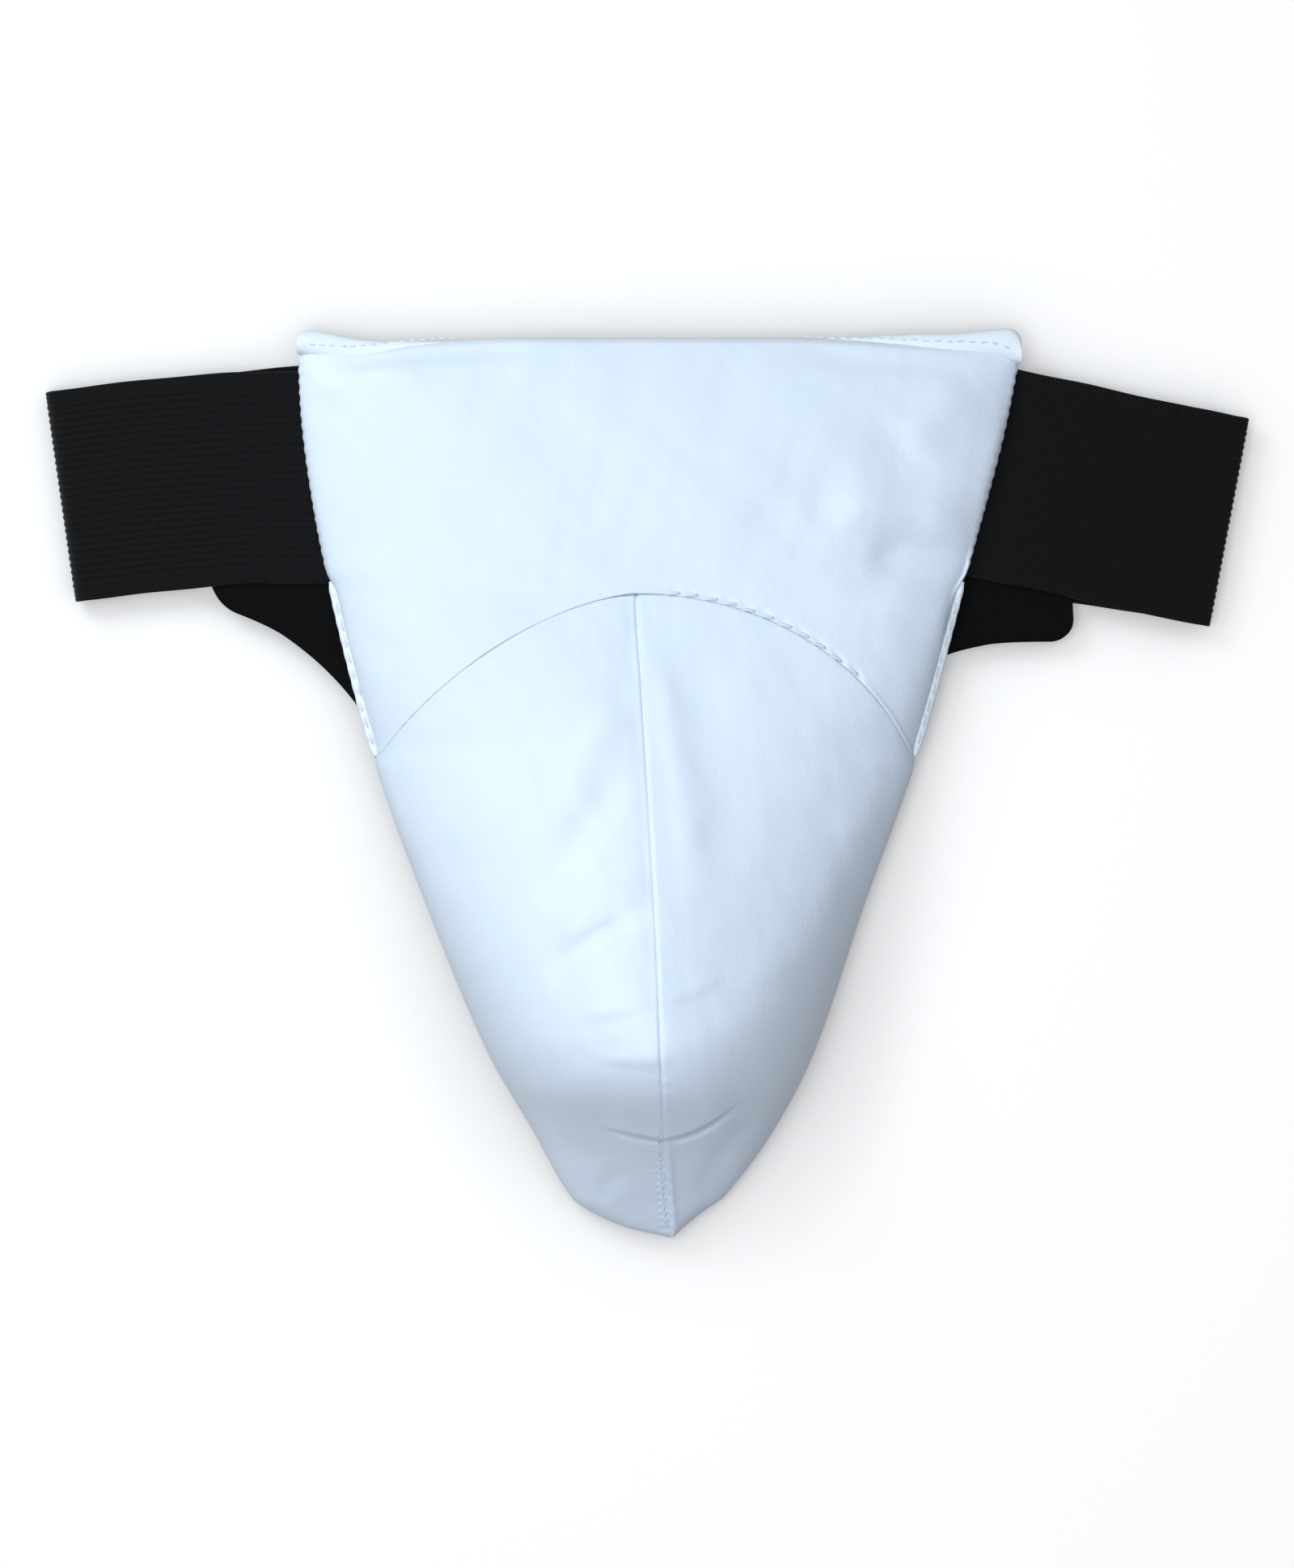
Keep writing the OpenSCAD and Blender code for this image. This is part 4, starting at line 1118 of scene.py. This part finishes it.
# %% Waistband halves
def band_half(name, route, cad):
    """One length of elastic as a single closed mesh: the ribbed band carried along its route."""
    centre, up, normal, n_front = band_route(*route)
    gone = length_along(centre)
    v = np.linspace(-1, 1, 214)  # closer points at both selvedges
    v = (BAND_W / 2) * np.sign(v) * (1 - (1 - np.abs(v)) ** 1.03)
    inner = smooth((27.3 - np.abs(v)) / 0.5)
    relief = 0.16 * inner * np.cos(2 * np.pi * v / RIB)
    for groove in (28.2, 29.4):
        relief = relief - 0.11 * np.exp(-((np.abs(v) - groove) / 0.2) ** 2)
    edge = np.clip((np.abs(v) - 29.9) / 0.6, 0, 1)
    half = (BAND_T / 2 - 0.12 + relief) * np.sqrt(1 - 0.8 * edge ** 2)
    wobble = 0.22 * np.sin(gone / 13.0) + 0.12 * np.sin(gone / 4.7 + 1)
    rib_drift = 0.10 * np.sin(gone[:, None] / 9 + v[None, :] / 11)
    off = v[None, :] + wobble[:, None] * (np.abs(v) / 30.5)[None, :] + rib_drift
    points = np.repeat(centre[:, None, :], len(v), 1)
    points[..., :2] += up[:, None, :] * off[..., None]
    lift = np.zeros(len(centre))
    lift[:n_front] = (0.22 * (1 + np.sin(gone[:n_front] / 11))
                      * np.sin(np.pi * np.linspace(0, 1, n_front)))
    points[..., 2] += lift[:, None] * (0.6 + 0.4 * np.cos(v / 14))[None, :]
    shift = normal[:, None, :] * half[None, :, None]
    piece = slab(name, points + shift, points - shift, gone[:, None], off, elastic, cad,
                 None)
    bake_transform(piece)
    print(name, "cut", BAND_W, "by", gone[-1].round(1), "mm")
    return piece


# Each route: middle and radius of the front arc, which side of it the band bows to, its two end
# directions in degrees, the fold's radius, and the rear arc's end direction.
LEFT_ROUTE = (np.array([-95.94, -398.92]), 487.0, 1, 88.88, 98.2, 3.1,
              rear_angle(CLOSE_TO + TAB))
RIGHT_ROUTE = (np.array([538.8, 2040.6]), 2000.0, -1, 257.0, 259.25, 1.4,
               rear_angle(CLOSE_FROM - TAB))
for side_name, route in (("left", LEFT_ROUTE), ("right", RIGHT_ROUTE)):
    parts = [f"waistband_{side_name}_{run}" for run in ("front", "fold", "rear")]
    band_half(f"waistband_{side_name}_elastic", route, parts)

# %% [markdown]
# ## Closure patches
# Hook tape on one rear run and loop tape on the other. Both are thin slabs on the rear arc; the
# hooks and the nap are in their materials, since neither can be told apart at this distance.

# %% Closure
PATCH_HALF = BAND_W / 2 - 3  # half the patches' width
for name, body, low_z, thick, material, slot in (
        ("hook_patch", "left_rear", 1.3, 0.8, hook_tape, "hook"),
        ("loop_patch", "right_rear", 2.4, 1.0, loop_tape, "loop")):
    along = np.arange(40)
    a = np.linspace(rear_angle(CLOSE_TO), rear_angle(CLOSE_FROM), len(along))
    v = np.sin(np.linspace(-np.pi / 2, np.pi / 2, 30)) * PATCH_HALF
    xy = REAR_MID + (REAR_R + v)[None, :, None] * direction(a)[:, None, :]
    end_round = np.minimum(1, 0.5 + np.minimum(along, along[::-1]) / 2)
    side_round = np.sqrt(1 - 0.7 * (v / PATCH_HALF) ** 30)
    half = thick / 2 * np.minimum(end_round[:, None], side_round)
    z = low_z + thick / 2
    upper = np.concatenate([xy, (z + half)[..., None]], -1)
    lower = np.concatenate([xy, (z - half)[..., None]], -1)
    gone = np.radians(a[0] - a) * REAR_R
    patch = slab(name + "_tape", upper, lower, gone[:, None], v, material, [name], body)
    print(patch.name, "on", body)

# %% [markdown]
# ## Stitches
# Every stitch is the same small shape: a thread that rises out of the cloth and dips back in. One
# template of a few dozen faces is laid between each pair of points, all in one mesh per seam.

# %% Rows of stitches
def stitch_row(name, starts, ends, material, cad, slot, body="root", w=0.75, h=0.6):
    """Threads from starts to ends: an ellipsoid of five rings, stretched and turned to fit."""
    starts, ends = np.array(starts, float), np.array(ends, float)
    rows, sides = 7, 8
    t = np.linspace(0, np.pi, rows)[1:-1]
    f = np.linspace(0, 2 * np.pi, sides, endpoint=False)
    round_ends = np.sin(t) ** 0.6
    rings = np.stack(np.broadcast_arrays(-np.cos(t)[:, None], round_ends[:, None] * np.cos(f),
                                         round_ends[:, None] * np.sin(f)), -1)
    template = np.concatenate([rings.reshape(-1, 3), [[-1, 0, 0], [1, 0, 0]]])
    n = (rows - 2) * sides
    faces = grid_faces(rows - 2, sides, wrap_cols=True).tolist()
    k = np.arange(sides)
    next_k, last = np.roll(k, -1), n - sides
    faces += fan(n, next_k, k) + fan(n + 1, last + k, last + next_k)
    run = (ends - starts) / 2
    length = np.linalg.norm(run, axis=1)[:, None]
    ahead = run / length
    aside = np.cross([0, 0, 1.0], ahead)
    aside /= np.linalg.norm(aside, axis=1)[:, None]
    up = np.cross(ahead, aside)
    points = ((starts + ends)[:, None] / 2
              + template[None, :, :1] * run[:, None]
              + template[None, :, 1:2] * aside[:, None] * w / 2
              + template[None, :, 2:] * up[:, None] * h / 2)
    count = len(starts)
    all_faces = [[v + k * (n + 2) for v in face] for k in range(count) for face in faces]
    piece = make_piece(name, points, all_faces, material, body, cad)
    outward(piece)
    print(name, count, "stitches")
    return piece


def threaded(line, share, jitter, seed):
    """Starts and ends of stitches along a line of points: each a share of its step, a bit off."""
    rng = np.random.default_rng(seed)
    line = np.array(line, float)
    step = np.diff(line, axis=0)
    shift = rng.normal(0, jitter, (len(step), 3)) * [1, 1, 0.2]
    starts = line[:-1] + shift + step * (1 - share) / 2
    return starts, starts + step * share


def yoke_front(side, a, y):
    """Front of the upper pad with its folds."""
    p = shell_point(side, a, y)
    p[..., 2] += yoke_relief(side, a, y, p[..., 0])
    return p

# %% Arch seam
x = np.arange(1, 13) * ARCH_PITCH
share = np.interp(x, curve(CENTRE_LINE, 40) + np.linspace(0, 1, 60) * half_width(RIGHT, 36.0),
                  np.linspace(0, 1, 60))
line = yoke_front(np.full(len(share), RIGHT), share, arch_y(RIGHT, share) + 0.7)
starts, ends = threaded(line + [0, 0, 0.32], 0.72, 0.1, 2)
starts[:, 1] -= 0.45
ends[:, 1] += 0.45
stitch_row("arch_seam_stitches", starts, ends, white_thread,
           ["arch_stitching"], "white_thread", w=0.95, h=0.8)

# %% Hem seam
u = np.linspace(-0.97, 0.97, 66)
u = u[(u < -0.5) | (u > 0.42)]
side, a = np.where(u < 0, LEFT, RIGHT), np.abs(u)
top, low = hem_top_y(side, a), cover_edge_y(side, a) - HEM_DEPTH
y = cover_edge_y(side, a) + 0.6 + 0.9 * smooth((a - 0.4) / 0.4)
rise = np.sqrt(np.maximum(0.05, 1 - ((y - (top + low) / 2) / ((top - low) / 2)) ** 2))
line = np.stack([curve(CENTRE_LINE, y) + side * half_width(side, y) * a, y,
                 hem_middle_z(a, y) + hem_half_z(a) * rise], -1)
starts, ends = threaded(line, 0.66, 0.08, 3)
near = np.linalg.norm(ends - starts, axis=1) < 5  # leaves out the leap across the middle
starts, ends = starts[near], ends[near]
stitch_row("hem_stitches", starts, ends, white_thread, ["hem_stitching"], "white_thread", w=0.6)

# %% Facing and centre seams
for side, side_name in ((LEFT, "left"), (RIGHT, "right")):
    y = np.arange(11.0, 56.0, SIDE_PITCH)
    x = curve(CENTRE_LINE, y) + side * (half_width(side, y) - FACING_W * 0.62)
    line = np.stack([x, y, base_z(y) + 1.85], -1)
    starts, ends = threaded(line, 0.72, 0.1, 4 + side)
    stitch_row(f"side_{side_name}_stitches", starts, ends, white_thread,
               [f"side_stitching_{side_name}"], "white_thread", w=0.65)

y = np.arange(STITCH_FROM_Y, STITCH_TO_Y, -STITCH_PITCH)
w = half_width(LEFT, y)
line = shell_point(np.full(len(y), LEFT), STITCH_OFF / w, y)
line[:, 2] += cover_relief(LEFT, STITCH_OFF / w, y, w, line[:, 0])
starts, ends = threaded(line, 0.55, 0.05, 9)
stitch_row("centre_seam_stitches", starts, ends, white_thread, ["centre_stitching"],
           "white_thread", w=0.6, h=0.5)

# %% [markdown]
# ## Bar tacks and closure stitches
# A bar tack is a zigzag sewn so close that it reads as a bar. Here each is a row of short threads
# across the bar, on both faces of the strap and the wing that it holds together.

# %% Bar tacks
def bartack(mid, tilt, low_z, high_z):
    """Short threads across each of two bars, on both faces of the sewn layers."""
    starts, ends = [], []
    ahead = np.array([math.cos(math.radians(tilt)), math.sin(math.radians(tilt))])
    up = np.array([-ahead[1], ahead[0]])
    for s in (-6.0, 6.0):
        for k in np.arange(-12, 12.01, 0.75):
            middle = np.array(mid) + s * ahead + k * up
            for z in (low_z, high_z):
                starts.append([*(middle - 1.1 * ahead - 0.2 * up), z])
                ends.append([*(middle + 1.1 * ahead + 0.2 * up), z])
    return starts, ends


for name, mid, tilt in (("left", (-114.0, 73.0), -4.1), ("right", (112.0, 72.0), -10.75)):
    stitch_row(f"wing_bartack_{name}_threads", *bartack(mid, tilt, 5.02, 6.9), black_thread,
               [f"wing_bartack_{name}"], "black_thread", w=0.7, h=0.5)

# %% Closure stitches
for name, body, z in (("hook", "left_rear", 2.12), ("loop", "right_rear", 2.4)):
    v = np.linspace(-25.5, 25.5, 22)
    starts, ends = [], []
    for x in (CLOSE_FROM + 2, CLOSE_TO - 2):
        spot = REAR_MID + (REAR_R + v)[:, None] * direction(np.array([rear_angle(x)]))
        line = np.concatenate([spot, np.full((len(v), 1), z)], 1)
        one, two = threaded(line, 0.7, 0.03, 6)
        starts.append(one)
        ends.append(two)
    stitch_row(f"{name}_patch_stitches", np.concatenate(starts), np.concatenate(ends),
               black_thread, [f"{name}_stitching"], "black_thread", body)

# %% Sizes and finish
low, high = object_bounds()
print("model box", list(low), list(high))
